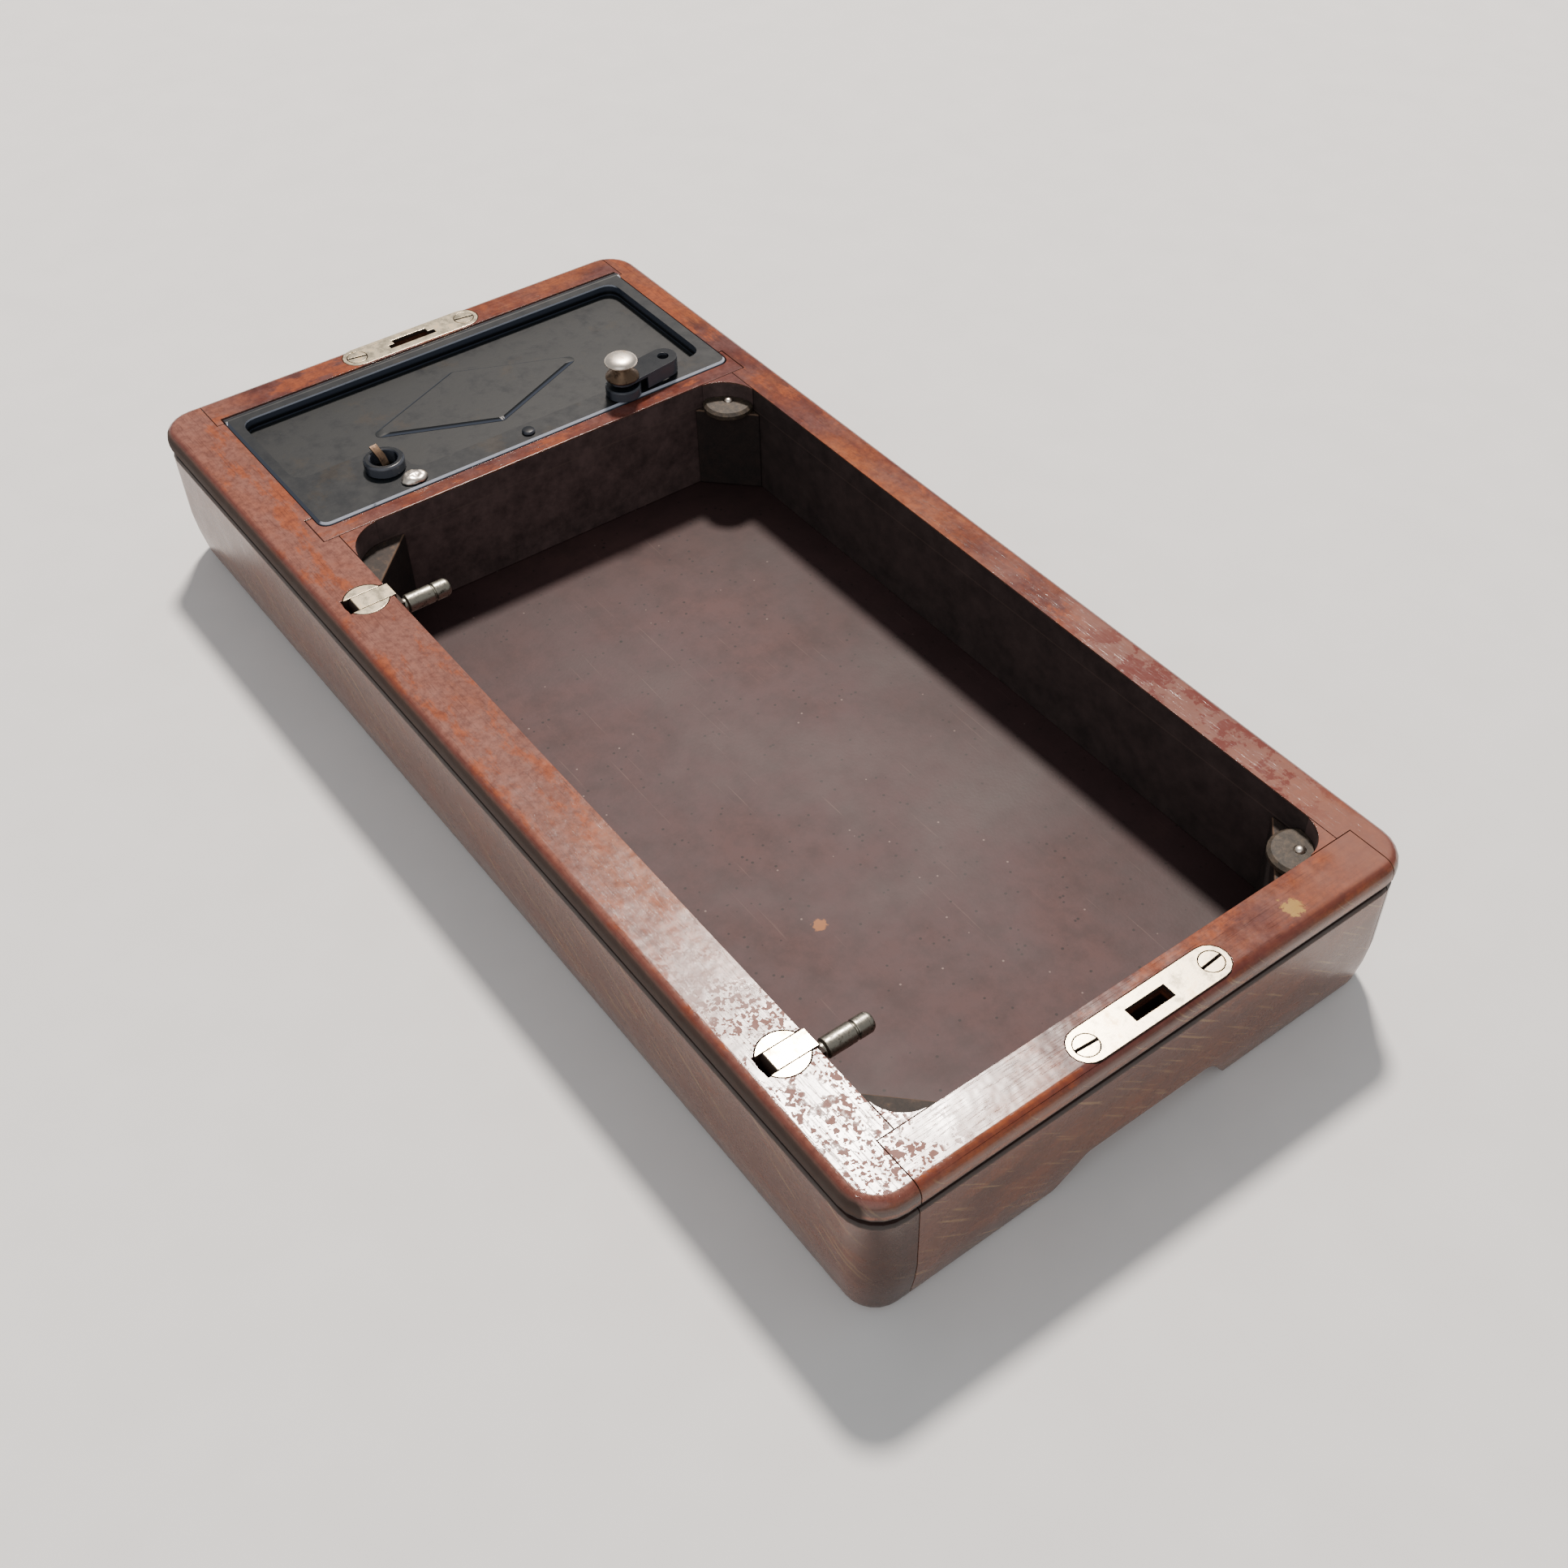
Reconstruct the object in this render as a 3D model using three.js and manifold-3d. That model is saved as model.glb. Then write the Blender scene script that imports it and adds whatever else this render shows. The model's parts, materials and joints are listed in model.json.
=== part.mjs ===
// Wooden base of a portable hand-crank sewing machine: a moulded hardwood frame with a recess for the
// machine's bed, two hinges that the bed tilts back on, and a compartment under a pressed-steel lid.
// Millimetres. +X towards the compartment, +Y towards the hinges, +Z up, origin under the middle.
import * as THREE from 'three';
import { mergeVertices } from 'three/addons/utils/BufferGeometryUtils.js';
import Module from 'manifold-3d';

const wasm = await Module();
wasm.setup();

// ---- Clearances ----
const GAP = 0.3;          // between pieces that are glued, pressed or laid together
const RUNNING = 0.05;     // radial, between a turning piece and its pin or bush
const SLACK = 0.7;        // beside pieces that pass each other

// ---- Frame ----
const LENGTH = 435;
const WIDTH = 206;
const HEIGHT = 57.5;
const CORNER_R = 13;      // outside corners of the frame, in plan
const END_RAIL = 18.3;    // thickness of the two short rails
const BACK_RAIL = 22.8;   // thickness of the rail that carries the hinges
const FRONT_RAIL = 15.4;
const CROSS_RAIL = 14.6;
const RAIL_HOUSING = 5.4; // how far the short rails and the cross rail are let into the long ones
const RECESS_LENGTH = 311;
const BED_STEP = 9.6;     // depth of the ledges that the bed stands on
const FLOOR_DEPTH = 44;   // top of the floor board below the top of the frame
const FLOOR_THICK = 5;
const FLOOR_TONGUE = 3.5; // how far the floor board enters the rails

// ---- Outside moulding, measured down from the top ----
const TOP_ROUND = 4;      // rounded top edge
const LIP_HEIGHT = 7.2;
const QUIRK_HEIGHT = 3;
const QUIRK_DEPTH = 2.4;
const BODY_INSET = 0.4;
const TUCK_INSET = 2.2;   // the side leans in by this much near the bottom
const TUCK_HEIGHT = 16;
const BOTTOM_ROUND = 4;

// ---- Finger cut-outs under the short rails ----
const FINGER_TOP = 46;    // flat length at the top of the cut-out
const FINGER_FLARE = 15;  // length of each curved end
const FINGER_HEIGHT = 15.5;
const FINGER_DEPTH = 13;  // into the rail from outside

// ---- Recess corners ----
const FILLER_R_LEFT = 12.5;
const FILLER_R_RIGHT = 16;
const POST_LEG = 24;
const POST_LEG_SHORT = 18.3;   // beside the lid's latch
const PAD_R = 9.8;
const PAD_INSET = 7;      // pad centre from each wall
const PAD_THICK = 3.2;
const TACK_R = 1.7;

// ---- Lock plates ----
const PLATE_LENGTH = 58.5;
const PLATE_WIDTH = 12;
const PLATE_THICK = 1.6;
const PLATE_SET_BACK = 2; // from the outside of the frame
const PLATE_Y = -1;
const SCREW_SPACING = 47.2;
const BOLT_SLOT_LENGTH = 14.8;
const BOLT_SLOT_WIDTH = 5;
const WIDE_SLOT_LENGTH = 20;   // longer half of the stepped slot on the right
const MORTISE_DEPTH = 24;
const SCREW_HEAD_R = 3.8;
const SCREW_HEAD_HEIGHT = 2.2;
const SCREW_SHANK_R = 1.7;
const SCREW_LENGTH = 14;
const SCREW_SLOT = 0.9;
const SCREW_SLOT_DEPTH = 1.4;
const SCREW_TURN = { left: [94, 86], right: [80, 78] };   // degrees, front then back

// ---- Bed hinges ----
const HINGE_SPACING = 237.1;
const CUP_R = 7.7;
const CUP_MARGIN = 0.7;        // wood left between the cup and the recess
const CUP_DEPTH = 13.5;
const CUP_FLOOR = 2;
const TONGUE_WIDTH = 6.8;
const TONGUE_THICK = 5.2;
const TONGUE_REACH = 1;        // past the rail, over the recess
const LUG_REACH = 3.4;
const LUG_DEPTH = 12.4;
const TAIL_REACH = 3.2;        // behind the axle
const AXLE_BEHIND = 1.9;       // axle behind the middle of the cup
const AXLE_DEPTH = 4;
const AXLE_R = 1.2;
const PIN_R = 3.25;
const PIN_NECK_R = 2.4;
const PIN_TENON_R = 1.8;
const PIN_DEPTH = 9;
const PIN_LENGTH = 18;
const PIN_NECK = 1.6;
const PIN_END = 6;             // end barrel beyond the groove
const PIN_GROOVE = 0.5;

// ---- Compartment lid ----
const SHEET = 1.2;
const LID_RISE = 0.8;          // top of the flange above the frame
const LID_LIP = 6.8;           // strip of cross rail left bare beside the lid
const LID_FRONT = 4;           // how far the flange covers each rail
const LID_BACK = 2.8;
const LID_FAR = 3.4;
const SKIRT = 2.9;             // height of the turned-down edge
const LID_CORNER_R = 4;
const FIELD_DEPTH = 4;
const TAB_X = 19.5;            // raised corner tab round the spare bush
const TAB_Y = 38;
const BEAD_R = 3.3;
const ROD_R = 1.2;
const ROD_DROP = 2.4;          // rod axis below the top of the frame
const ROD_END = 6;             // length of rod held in each rail
const DIAMOND_LENGTH = 94;
const DIAMOND_WIDTH = 41;
const DIAMOND_RISE = 0.9;
const DIAMOND_SLOPE = 1.4;     // its sides lean in by this much
const DIAMOND_TIP_R = 2.5;
const DIAMOND_SHIFT = 0.7;     // towards the far edge, from the middle of the field
const FIELD_CORNER = 6;        // where the rounding of the field's corners starts

// ---- Lid latch ----
const LATCH_INSET = 5.1;       // spindle from the lid's near edge
const LATCH_Y = -46;
const SPINDLE_R = 2;
const BUSH_R = 6.8;
const BUSH_HEIGHT = 4;
const BUSH_SPIGOT_R = 3.6;
const LEVER_LENGTH = 20.4;
const LEVER_R = 5.4;
const LEVER_TOP = 8;           // above the frame
const LEVER_SKIRT = 6.2;
const LEVER_HEEL = 8;          // the turned-down edge starts here, clear of the bush
const LEVER_SWING = 8;         // degrees from square with the rail
const EYELET_R = 2.2;
const CONE_R = 6.4;
const CONE_HEIGHT = 5;
const KNOB_R = 6.3;
const KNOB_HEIGHT = 3.6;
const CAM_REACH = 8.2;
const CAM_WIDTH = 4.4;
const CAM_THICK = 2.4;
const CAM_DEPTH = 6.2;         // top of the cam below the frame's top
const CAM_LIP = 4;             // wood left over the cam's pocket

// ---- Small pieces on the lid ----
const SPARE_X = 17.6;          // from the lid's near edge
const SPARE_Y = 48.6;
const SPARE_R = 7.5;
const SPARE_BORE_R = 4.9;
const SPARE_HEIGHT = 4.2;
const SPARE_SPIGOT_R = 6.1;
const SPARE_DEPTH = 5.4;       // bush floor below the top of the frame
const SPARE_FLOOR = 0.8;
const STRIP_WIDTH = 3;
const STRIP_THICK = 0.7;
const LUG_RIVET_Y = 44.5;
const LUG_RIVET_R = 4.1;
const LUG_RIVET_HEIGHT = 2.6;
const STUD_Y = -4;
const STUD_R = 2.6;
const STUD_HEIGHT = 1.3;
const RIVET_SHANK_R = 1.2;

// ---- Places that follow from the sizes above ----
const HALF_L = LENGTH / 2;
const HALF_W = WIDTH / 2;
const X_LEFT = -HALF_L + END_RAIL;
const X_FAR = HALF_L - END_RAIL;
const X_CROSS = X_LEFT + RECESS_LENGTH;
const X_BAY = X_CROSS + CROSS_RAIL;
const Y_BACK = HALF_W - BACK_RAIL;
const Y_FRONT = -HALF_W + FRONT_RAIL;
const Z_FLOOR = HEIGHT - FLOOR_DEPTH;
const Z_LEDGE = HEIGHT - BED_STEP;
const LID = {
  x0: X_CROSS + LID_LIP,
  x1: X_FAR + LID_FAR,
  y0: Y_FRONT - LID_FRONT,
  y1: Y_BACK + LID_BACK,
};
const ROD_X = LID.x1 - BEAD_R - GAP;
const ROD_Z = HEIGHT - ROD_DROP;
const LATCH_X = LID.x0 + GAP + LATCH_INSET;
const PLATE_X = HALF_L - PLATE_SET_BACK - PLATE_WIDTH / 2;
const HINGE_X = X_LEFT + RECESS_LENGTH / 2;    // midway between the two hinges
const HINGE_SET_BACK = CUP_R + CUP_MARGIN;    // cup centre from the recess
const HINGE_Y = Y_BACK + HINGE_SET_BACK;
const AXLE_Y = HINGE_Y + AXLE_BEHIND;

// ---- Materials ----
const MAHOGANY = { color: 0x8a4a3a, roughness: 0.35, metalness: 0 };
const DARK_BOARD = { color: 0x4a3a33, roughness: 0.7, metalness: 0 };
const LEDGE_WOOD = { color: 0x5b4636, roughness: 0.8, metalness: 0 };
const NICKEL = { color: 0xd9d4c8, roughness: 0.25, metalness: 1 };
const STEEL = { color: 0x9a968c, roughness: 0.35, metalness: 1 };
const JAPAN = { color: 0x26282a, roughness: 0.3, metalness: 0.1 };
const FELT = { color: 0x6f6a60, roughness: 0.95, metalness: 0 };

// ---- Helpers: geometry to solid, solid to mesh ----
function solid(geometry) {
  geometry.deleteAttribute('normal');
  geometry.deleteAttribute('uv');
  const merged = mergeVertices(geometry, 1e-4);
  return new wasm.Manifold(new wasm.Mesh({
    numProp: 3,
    vertProperties: new Float32Array(merged.attributes.position.array),
    triVerts: new Uint32Array(merged.index.array),
  }));
}

function box(x0, x1, y0, y1, z0, z1) {
  const geometry = new THREE.BoxGeometry(x1 - x0, y1 - y0, z1 - z0);
  return solid(geometry.translate((x0 + x1) / 2, (y0 + y1) / 2, (z0 + z1) / 2));
}

function turned(profile, segments = 20) {
  const points = profile.map(([r, z]) => new THREE.Vector2(r, z));
  return solid(new THREE.LatheGeometry(points, segments).rotateX(Math.PI / 2));
}

function cylinder(r, z0, z1, segments = 20) {
  return turned([[0, z0], [r, z0], [r, z1], [0, z1]], segments);
}

function prism(points, z0, z1) {
  const shape = new THREE.Shape(points.map(([x, y]) => new THREE.Vector2(x, y)));
  const geometry = new THREE.ExtrudeGeometry(shape, { depth: z1 - z0, bevelEnabled: false });
  return solid(geometry.translate(0, 0, z0));
}

// Stands a solid that was made along Z along +Y or +X instead.
const alongY = (piece) => piece.rotate([-90, 0, 0]);
const alongX = (piece) => piece.rotate([0, 90, 0]);

function arc(cx, cy, r, from, to, steps) {
  return Array.from({ length: steps + 1 }, (_, i) => {
    const angle = from + (to - from) * i / steps;
    return [cx + r * Math.cos(angle), cy + r * Math.sin(angle)];
  });
}

// Rounded rectangle; radii run from the corner at x1, y1 anticlockwise.
function roundedBox(x0, x1, y0, y1, radii, steps = 6) {
  const [r11, r01, r00, r10] = radii;
  const quarter = Math.PI / 2;
  return [
    ...arc(x1 - r11, y1 - r11, r11, 0, quarter, steps),
    ...arc(x0 + r01, y1 - r01, r01, quarter, 2 * quarter, steps),
    ...arc(x0 + r00, y0 + r00, r00, 2 * quarter, 3 * quarter, steps),
    ...arc(x1 - r10, y0 + r10, r10, 3 * quarter, 4 * quarter, steps),
  ];
}

function stadium(cx, cy, length, width, steps = 8) {
  const r = width / 2;
  const reach = length / 2 - r;
  return [
    ...arc(cx, cy + reach, r, 0, Math.PI, steps),
    ...arc(cx, cy - reach, r, Math.PI, 2 * Math.PI, steps),
  ];
}

// Closed skin over a stack of rings that all have the same number of points.
function loft(rings) {
  const count = rings[0].length;
  const positions = rings.flat(2);
  const index = [];
  for (let level = 0; level + 1 < rings.length; level += 1) {
    for (let i = 0; i < count; i += 1) {
      const next = (i + 1) % count;
      const a = level * count + i;
      const b = level * count + next;
      index.push(a, b, b + count, a, b + count, a + count);
    }
  }
  const top = (rings.length - 1) * count;
  for (let i = 1; i + 1 < count; i += 1) {
    index.push(0, i + 1, i);
    index.push(top, top + i, top + i + 1);
  }
  const geometry = new THREE.BufferGeometry();
  geometry.setAttribute('position', new THREE.Float32BufferAttribute(positions, 3));
  geometry.setIndex(index);
  return solid(geometry);
}

const part = new THREE.Group();

function addPiece(name, piece, finish) {
  const { vertProperties, triVerts } = piece.getMesh();
  const geometry = new THREE.BufferGeometry();
  geometry.setAttribute('position', new THREE.BufferAttribute(new Float32Array(vertProperties), 3));
  geometry.setIndex(new THREE.BufferAttribute(new Uint32Array(triVerts), 1));
  const mesh = new THREE.Mesh(geometry, new THREE.MeshStandardMaterial(finish));
  mesh.name = name;
  part.add(mesh);
}

// ---- Frame ----

// Outside moulding from the bottom up, as inset and height: tucked side, quirk, lip, rounded top.
function mouldingProfile() {
  const lipTop = HEIGHT - TOP_ROUND;
  const lipFoot = HEIGHT - LIP_HEIGHT;
  const quirkFoot = lipFoot - QUIRK_HEIGHT;
  const tuckTop = BOTTOM_ROUND + TUCK_HEIGHT;
  const side = BODY_INSET + TUCK_INSET;
  return [
    ...arc(side + BOTTOM_ROUND, BOTTOM_ROUND, BOTTOM_ROUND, 1.5 * Math.PI, Math.PI, 4),
    [BODY_INSET + TUCK_INSET * 0.35, BOTTOM_ROUND + TUCK_HEIGHT * 0.5],
    [BODY_INSET, tuckTop],
    [BODY_INSET, quirkFoot - 1],
    [BODY_INSET + 0.7, quirkFoot],
    [BODY_INSET + QUIRK_DEPTH, quirkFoot + 0.4],
    [BODY_INSET + QUIRK_DEPTH, lipFoot - 0.5],
    [0.6, lipFoot],
    [0, lipFoot + 0.7],
    ...arc(TOP_ROUND, lipTop, TOP_ROUND, Math.PI, 0.5 * Math.PI, 5),
  ];
}

function mouldedBlank() {
  return loft(mouldingProfile().map(([inset, z]) => {
    const r = CORNER_R - inset;
    const x = HALF_L - inset;
    const y = HALF_W - inset;
    return roundedBox(-x, x, -y, y, [r, r, r, r]).map(([px, py]) => [px, py, z]);
  }));
}

const BLANK = mouldedBlank();
const FAR = 1000;        // past every side, for cutting

// Space taken by the lid: the flange's rebate, deeper along the hinge bead, and the rod's holes.
function lidRebate() {
  const rebate = roundedBox(LID.x0, LID.x1, LID.y0, LID.y1, [0.5, LID_CORNER_R, LID_CORNER_R, 0.5]);
  const flange = prism(rebate, HEIGHT + LID_RISE - SKIRT - GAP, FAR);
  const beadFloor = ROD_Z - BEAD_R - GAP;
  const bead = box(ROD_X - BEAD_R - SLACK, LID.x1, LID.y0, LID.y1, beadFloor, FAR);
  return flange.add(bead).add(lidRod(GAP));
}

function floorBoard(clearance) {
  const reach = FLOOR_TONGUE + clearance;
  return box(X_LEFT - reach, X_FAR + reach, Y_FRONT - reach, Y_BACK + reach,
    Z_FLOOR - FLOOR_THICK - clearance, Z_FLOOR + clearance);
}

// Plan of a cross member that is let into both long rails, widened by a clearance.
function memberBox(x0, x1, clearance) {
  return box(x0 - clearance, x1 + clearance, Y_FRONT - RAIL_HOUSING - clearance,
    Y_BACK + RAIL_HOUSING + clearance, -FAR, FAR);
}

function longRail(side) {
  const inner = side > 0 ? Y_BACK : Y_FRONT;
  const slab = side > 0 ? box(-FAR, FAR, inner, FAR, -FAR, FAR) : box(-FAR, FAR, -FAR, inner, -FAR, FAR);
  return BLANK.intersect(slab)
    .subtract(memberBox(-FAR, X_LEFT, GAP))
    .subtract(memberBox(X_FAR, FAR, GAP))
    .subtract(memberBox(X_CROSS, X_BAY, GAP).intersect(box(-FAR, FAR, -FAR, FAR, Z_FLOOR, FAR)))
    .subtract(floorBoard(GAP))
    .subtract(lidRebate());
}

// Side view of a finger cut-out, as points in Y and Z, its ends curving out to the bottom edge.
function fingerOutline() {
  const steps = 8;
  const half = FINGER_TOP / 2 + FINGER_FLARE;
  const ogee = [];
  for (let i = 0; i <= steps; i += 1) {
    const t = i / steps;
    ogee.push([half - FINGER_FLARE * t, FINGER_HEIGHT * (3 * t * t - 2 * t * t * t)]);
  }
  const mirrored = ogee.map(([y, z]) => [-y, z]).reverse();
  return [[half, -1], ...ogee, ...mirrored, [-half, -1]];
}

// A plan drawn in Y and Z, made solid from x0 to x1.
function sidePrism(points, x0, x1) {
  return prism(points, x0, x1).transform([0, 1, 0, 0, 0, 0, 1, 0, 1, 0, 0, 0, 0, 0, 0, 1]);
}

function fingerCut(side) {
  const inner = HALF_L - FINGER_DEPTH;
  const [x0, x1] = side < 0 ? [-FAR, -inner] : [inner, FAR];
  return sidePrism(fingerOutline(), x0, x1).translate([0, PLATE_Y, 0]);
}

function endRail(side) {
  const x0 = side < 0 ? -FAR : X_FAR;
  const x1 = side < 0 ? X_LEFT : FAR;
  const plate = prism(stadium(side * PLATE_X, PLATE_Y, PLATE_LENGTH + 2 * GAP, PLATE_WIDTH + 2 * GAP),
    HEIGHT - PLATE_THICK - GAP, FAR);
  let rail = BLANK.intersect(memberBox(x0, x1, 0))
    .subtract(floorBoard(GAP))
    .subtract(lidRebate())
    .subtract(plate)
    .subtract(boltSlot(side, 1, HEIGHT - MORTISE_DEPTH))
    .subtract(fingerCut(side));
  for (const end of [-1, 1]) {
    rail = rail.subtract(placedScrew(side, end, GAP));
  }
  return rail;
}

function crossRail() {
  const full = box(X_CROSS, X_BAY, Y_FRONT - RAIL_HOUSING, Y_BACK + RAIL_HOUSING, Z_FLOOR + GAP, HEIGHT);
  const camRoom = CAM_REACH + 2 * SLACK;
  const pocketFloor = HEIGHT - CAM_DEPTH - CAM_THICK - 2 * SLACK;
  const pocket = box(LATCH_X - camRoom, X_BAY + 1, LATCH_Y - camRoom, LATCH_Y + camRoom,
    pocketFloor, HEIGHT - CAM_LIP);
  const well = box(LID.x0, X_BAY + 1, LATCH_Y - camRoom, LATCH_Y + camRoom, pocketFloor, FAR);
  return full.subtract(lidRebate()).subtract(pocket).subtract(well);
}

// ---- Recess corners: filler, support post, pad and tack ----

// Corners of the recess: the two walls that meet there, the filler's radius and the post's leg.
const CORNERS = {
  front_left: { x: X_LEFT, y: Y_FRONT, sx: 1, sy: 1, r: FILLER_R_LEFT, leg: POST_LEG },
  back_left: { x: X_LEFT, y: Y_BACK, sx: 1, sy: -1, r: FILLER_R_LEFT, leg: POST_LEG },
  front_right: { x: X_CROSS, y: Y_FRONT, sx: -1, sy: 1, r: FILLER_R_RIGHT, leg: POST_LEG_SHORT },
  back_right: { x: X_CROSS, y: Y_BACK, sx: -1, sy: -1, r: FILLER_R_RIGHT, leg: POST_LEG },
};

// A plan drawn from the corner outwards, put in its own corner the right way round.
function cornerPrism(corner, points, z0, z1) {
  const placed = points.map(([u, v]) => [corner.x + corner.sx * u, corner.y + corner.sy * v]);
  return prism(corner.sx * corner.sy > 0 ? placed : placed.reverse(), z0, z1);
}

function cornerFiller(corner) {
  const { r } = corner;
  const curve = arc(r, r, r - GAP, 1.5 * Math.PI - 0.12, Math.PI + 0.12, 8);
  const plan = [[GAP, GAP], [curve[0][0], GAP], ...curve, [GAP, curve.at(-1)[1]]];
  return cornerPrism(corner, plan, Z_LEDGE + GAP, HEIGHT);
}

function supportPost(corner) {
  const plan = [[GAP, GAP], [corner.leg, GAP], [GAP, corner.leg]];
  return cornerPrism(corner, plan, Z_FLOOR + GAP, Z_LEDGE);
}

function padCentre(corner) {
  return [corner.x + corner.sx * PAD_INSET, corner.y + corner.sy * PAD_INSET];
}

function bedPad(corner) {
  const [cx, cy] = padCentre(corner);
  const foot = Z_LEDGE + GAP;
  const crown = foot + PAD_THICK;
  const disc = turned([[0, foot], [PAD_R - 0.4, foot], [PAD_R, foot + 0.5], [PAD_R, crown - 1.2],
    [PAD_R - 1.2, crown - 0.3], [0, crown]], 28).translate([cx, cy, 0]);
  const { r } = corner;
  const inside = [...arc(r, r, r - 2 * GAP, 1.5 * Math.PI, Math.PI, 8),
    [2 * GAP, FAR / 10], [FAR / 10, FAR / 10], [FAR / 10, 2 * GAP]];
  const room = cornerPrism(corner, inside.reverse(), foot - 1, crown + 1);
  return disc.intersect(room).subtract(padTack(corner, GAP));
}

function padTack(corner, clearance) {
  const [cx, cy] = padCentre(corner);
  const crown = Z_LEDGE + GAP + PAD_THICK;
  const foot = Z_LEDGE + GAP + 0.8 - clearance;
  const head = TACK_R + clearance;
  return turned([[0, foot], [head * 0.5, foot], [head * 0.5, crown - 0.4 - clearance],
    [head, crown - 0.4 - clearance], [head, crown + 0.2 + clearance], [head * 0.5, crown + 0.8],
    [0, crown + 0.9]], 12).translate([cx, cy, 0]);
}

// ---- Lock plates and their screws ----

function boltSlot(side, margin, floor) {
  const width = BOLT_SLOT_WIDTH / 2 + margin;
  const x = side * PLATE_X;
  const y = PLATE_Y;
  const length = BOLT_SLOT_LENGTH / 2 + margin;
  if (side < 0) {
    return box(x - width, x + width, y - length, y + length, floor, FAR);
  }
  const long = WIDE_SLOT_LENGTH / 2 + margin;
  return box(x - width, x + width, y - length, y + length, floor, FAR)
    .add(box(x - width, x, y - long, y + long, floor, FAR));
}

function woodScrew(clearance) {
  const head = SCREW_HEAD_R + clearance;
  const shank = SCREW_SHANK_R + clearance;
  const neck = HEIGHT - SCREW_HEAD_HEIGHT - clearance;
  const tip = HEIGHT - SCREW_LENGTH - clearance;
  return turned([[0, tip], [shank * 0.3, tip + 0.5], [shank, tip + 4], [shank, neck],
    [head, HEIGHT - 0.3], [head, HEIGHT - (clearance > 0 ? -1 : 0)],
    [0, HEIGHT - (clearance > 0 ? -1 : 0)]]);
}

function placedScrew(side, end, clearance) {
  const place = [side * PLATE_X, PLATE_Y + end * SCREW_SPACING / 2, 0];
  return woodScrew(clearance).translate(place);
}

function lockScrew(side, end, degrees) {
  const slot = box(-SCREW_HEAD_R - 1, SCREW_HEAD_R + 1, -SCREW_SLOT / 2, SCREW_SLOT / 2,
    HEIGHT - SCREW_SLOT_DEPTH, HEIGHT + 1);
  const place = [side * PLATE_X, PLATE_Y + end * SCREW_SPACING / 2, 0];
  return woodScrew(0).subtract(slot.rotate([0, 0, degrees])).translate(place);
}

function lockPlate(side) {
  let plate = prism(stadium(side * PLATE_X, PLATE_Y, PLATE_LENGTH, PLATE_WIDTH),
    HEIGHT - PLATE_THICK, HEIGHT).subtract(boltSlot(side, 0, 0));
  for (const end of [-1, 1]) {
    plate = plate.subtract(placedScrew(side, end, GAP));
  }
  return plate;
}

// ---- Bed hinges, drawn with the cup's axis at the origin in plan ----

const SLOT_HALF = TONGUE_WIDTH / 2 + GAP;
const TAIL_SWING = Math.hypot(TAIL_REACH, AXLE_DEPTH) + SLACK;

function hingePocket() {
  const depth = HEIGHT - CUP_DEPTH - GAP;
  const slot = SLOT_HALF + GAP;
  return cylinder(CUP_R + GAP, depth, FAR, 32)
    .add(box(-slot, slot, -HINGE_SET_BACK - 1, AXLE_BEHIND + TAIL_SWING, depth, FAR));
}

function hingeCup() {
  const slotFloor = HEIGHT - CUP_DEPTH + CUP_FLOOR;
  return cylinder(CUP_R, HEIGHT - CUP_DEPTH, HEIGHT, 32)
    .subtract(box(-SLOT_HALF, SLOT_HALF, -CUP_R - 1, CUP_R + 1, slotFloor, HEIGHT + 1))
    .subtract(hingeAxle(GAP));
}

function hingeAxle(clearance) {
  const half = Math.sqrt(CUP_R ** 2 - AXLE_BEHIND ** 2) - 1.2;
  return alongX(cylinder(AXLE_R + clearance, -half - clearance, half + clearance, 24))
    .translate([0, AXLE_BEHIND, HEIGHT - AXLE_DEPTH]);
}

// Side view of the tongue, as points in Y and Z from the axle, with a rounded tail.
function hingeTongue() {
  const front = -HINGE_SET_BACK - AXLE_BEHIND;
  const under = AXLE_DEPTH - TONGUE_THICK;
  const outline = [
    [front - TONGUE_REACH, AXLE_DEPTH],
    [TAIL_REACH - 1, AXLE_DEPTH],
    [TAIL_REACH, AXLE_DEPTH - 1.2],
    [TAIL_REACH, 0],
    [TAIL_REACH - 1, under],
    [front + 0.6, under],
    [front + 0.6, AXLE_DEPTH - LUG_DEPTH],
    [front - LUG_REACH, AXLE_DEPTH - LUG_DEPTH],
    [front - LUG_REACH, under],
    [front - TONGUE_REACH, under + 0.6],
  ];
  const tenonHole = alongY(cylinder(PIN_TENON_R + GAP, -FAR, front + 2, 24))
    .translate([0, AXLE_BEHIND, HEIGHT - PIN_DEPTH]);
  const bore = alongX(cylinder(AXLE_R + RUNNING, -FAR, FAR, 24))
    .translate([0, AXLE_BEHIND, HEIGHT - AXLE_DEPTH]);
  return sidePrism(outline.reverse(), -TONGUE_WIDTH / 2, TONGUE_WIDTH / 2)
    .translate([0, AXLE_BEHIND, HEIGHT - AXLE_DEPTH])
    .subtract(tenonHole)
    .subtract(bore);
}

function bedPin() {
  const shoulder = LUG_REACH + GAP;
  const tip = shoulder + PIN_LENGTH;
  const groove = tip - PIN_END;
  const profile = [
    [0, -0.4], [PIN_TENON_R, -0.4], [PIN_TENON_R, shoulder], [PIN_NECK_R, shoulder],
    [PIN_NECK_R, shoulder + PIN_NECK - 0.5], [PIN_R, shoulder + PIN_NECK],
    [PIN_R, groove - 1], [PIN_R - PIN_GROOVE, groove - 0.7], [PIN_R - PIN_GROOVE, groove - 0.3],
    [PIN_R, groove], [PIN_R, tip - 1.6], [PIN_R * 0.8, tip - 0.5], [PIN_R * 0.4, tip - 0.05],
    [0, tip],
  ];
  return turned(profile, 18).rotate([90, 0, 0])
    .translate([0, -HINGE_SET_BACK, HEIGHT - PIN_DEPTH]);
}

// ---- Compartment lid ----

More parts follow.
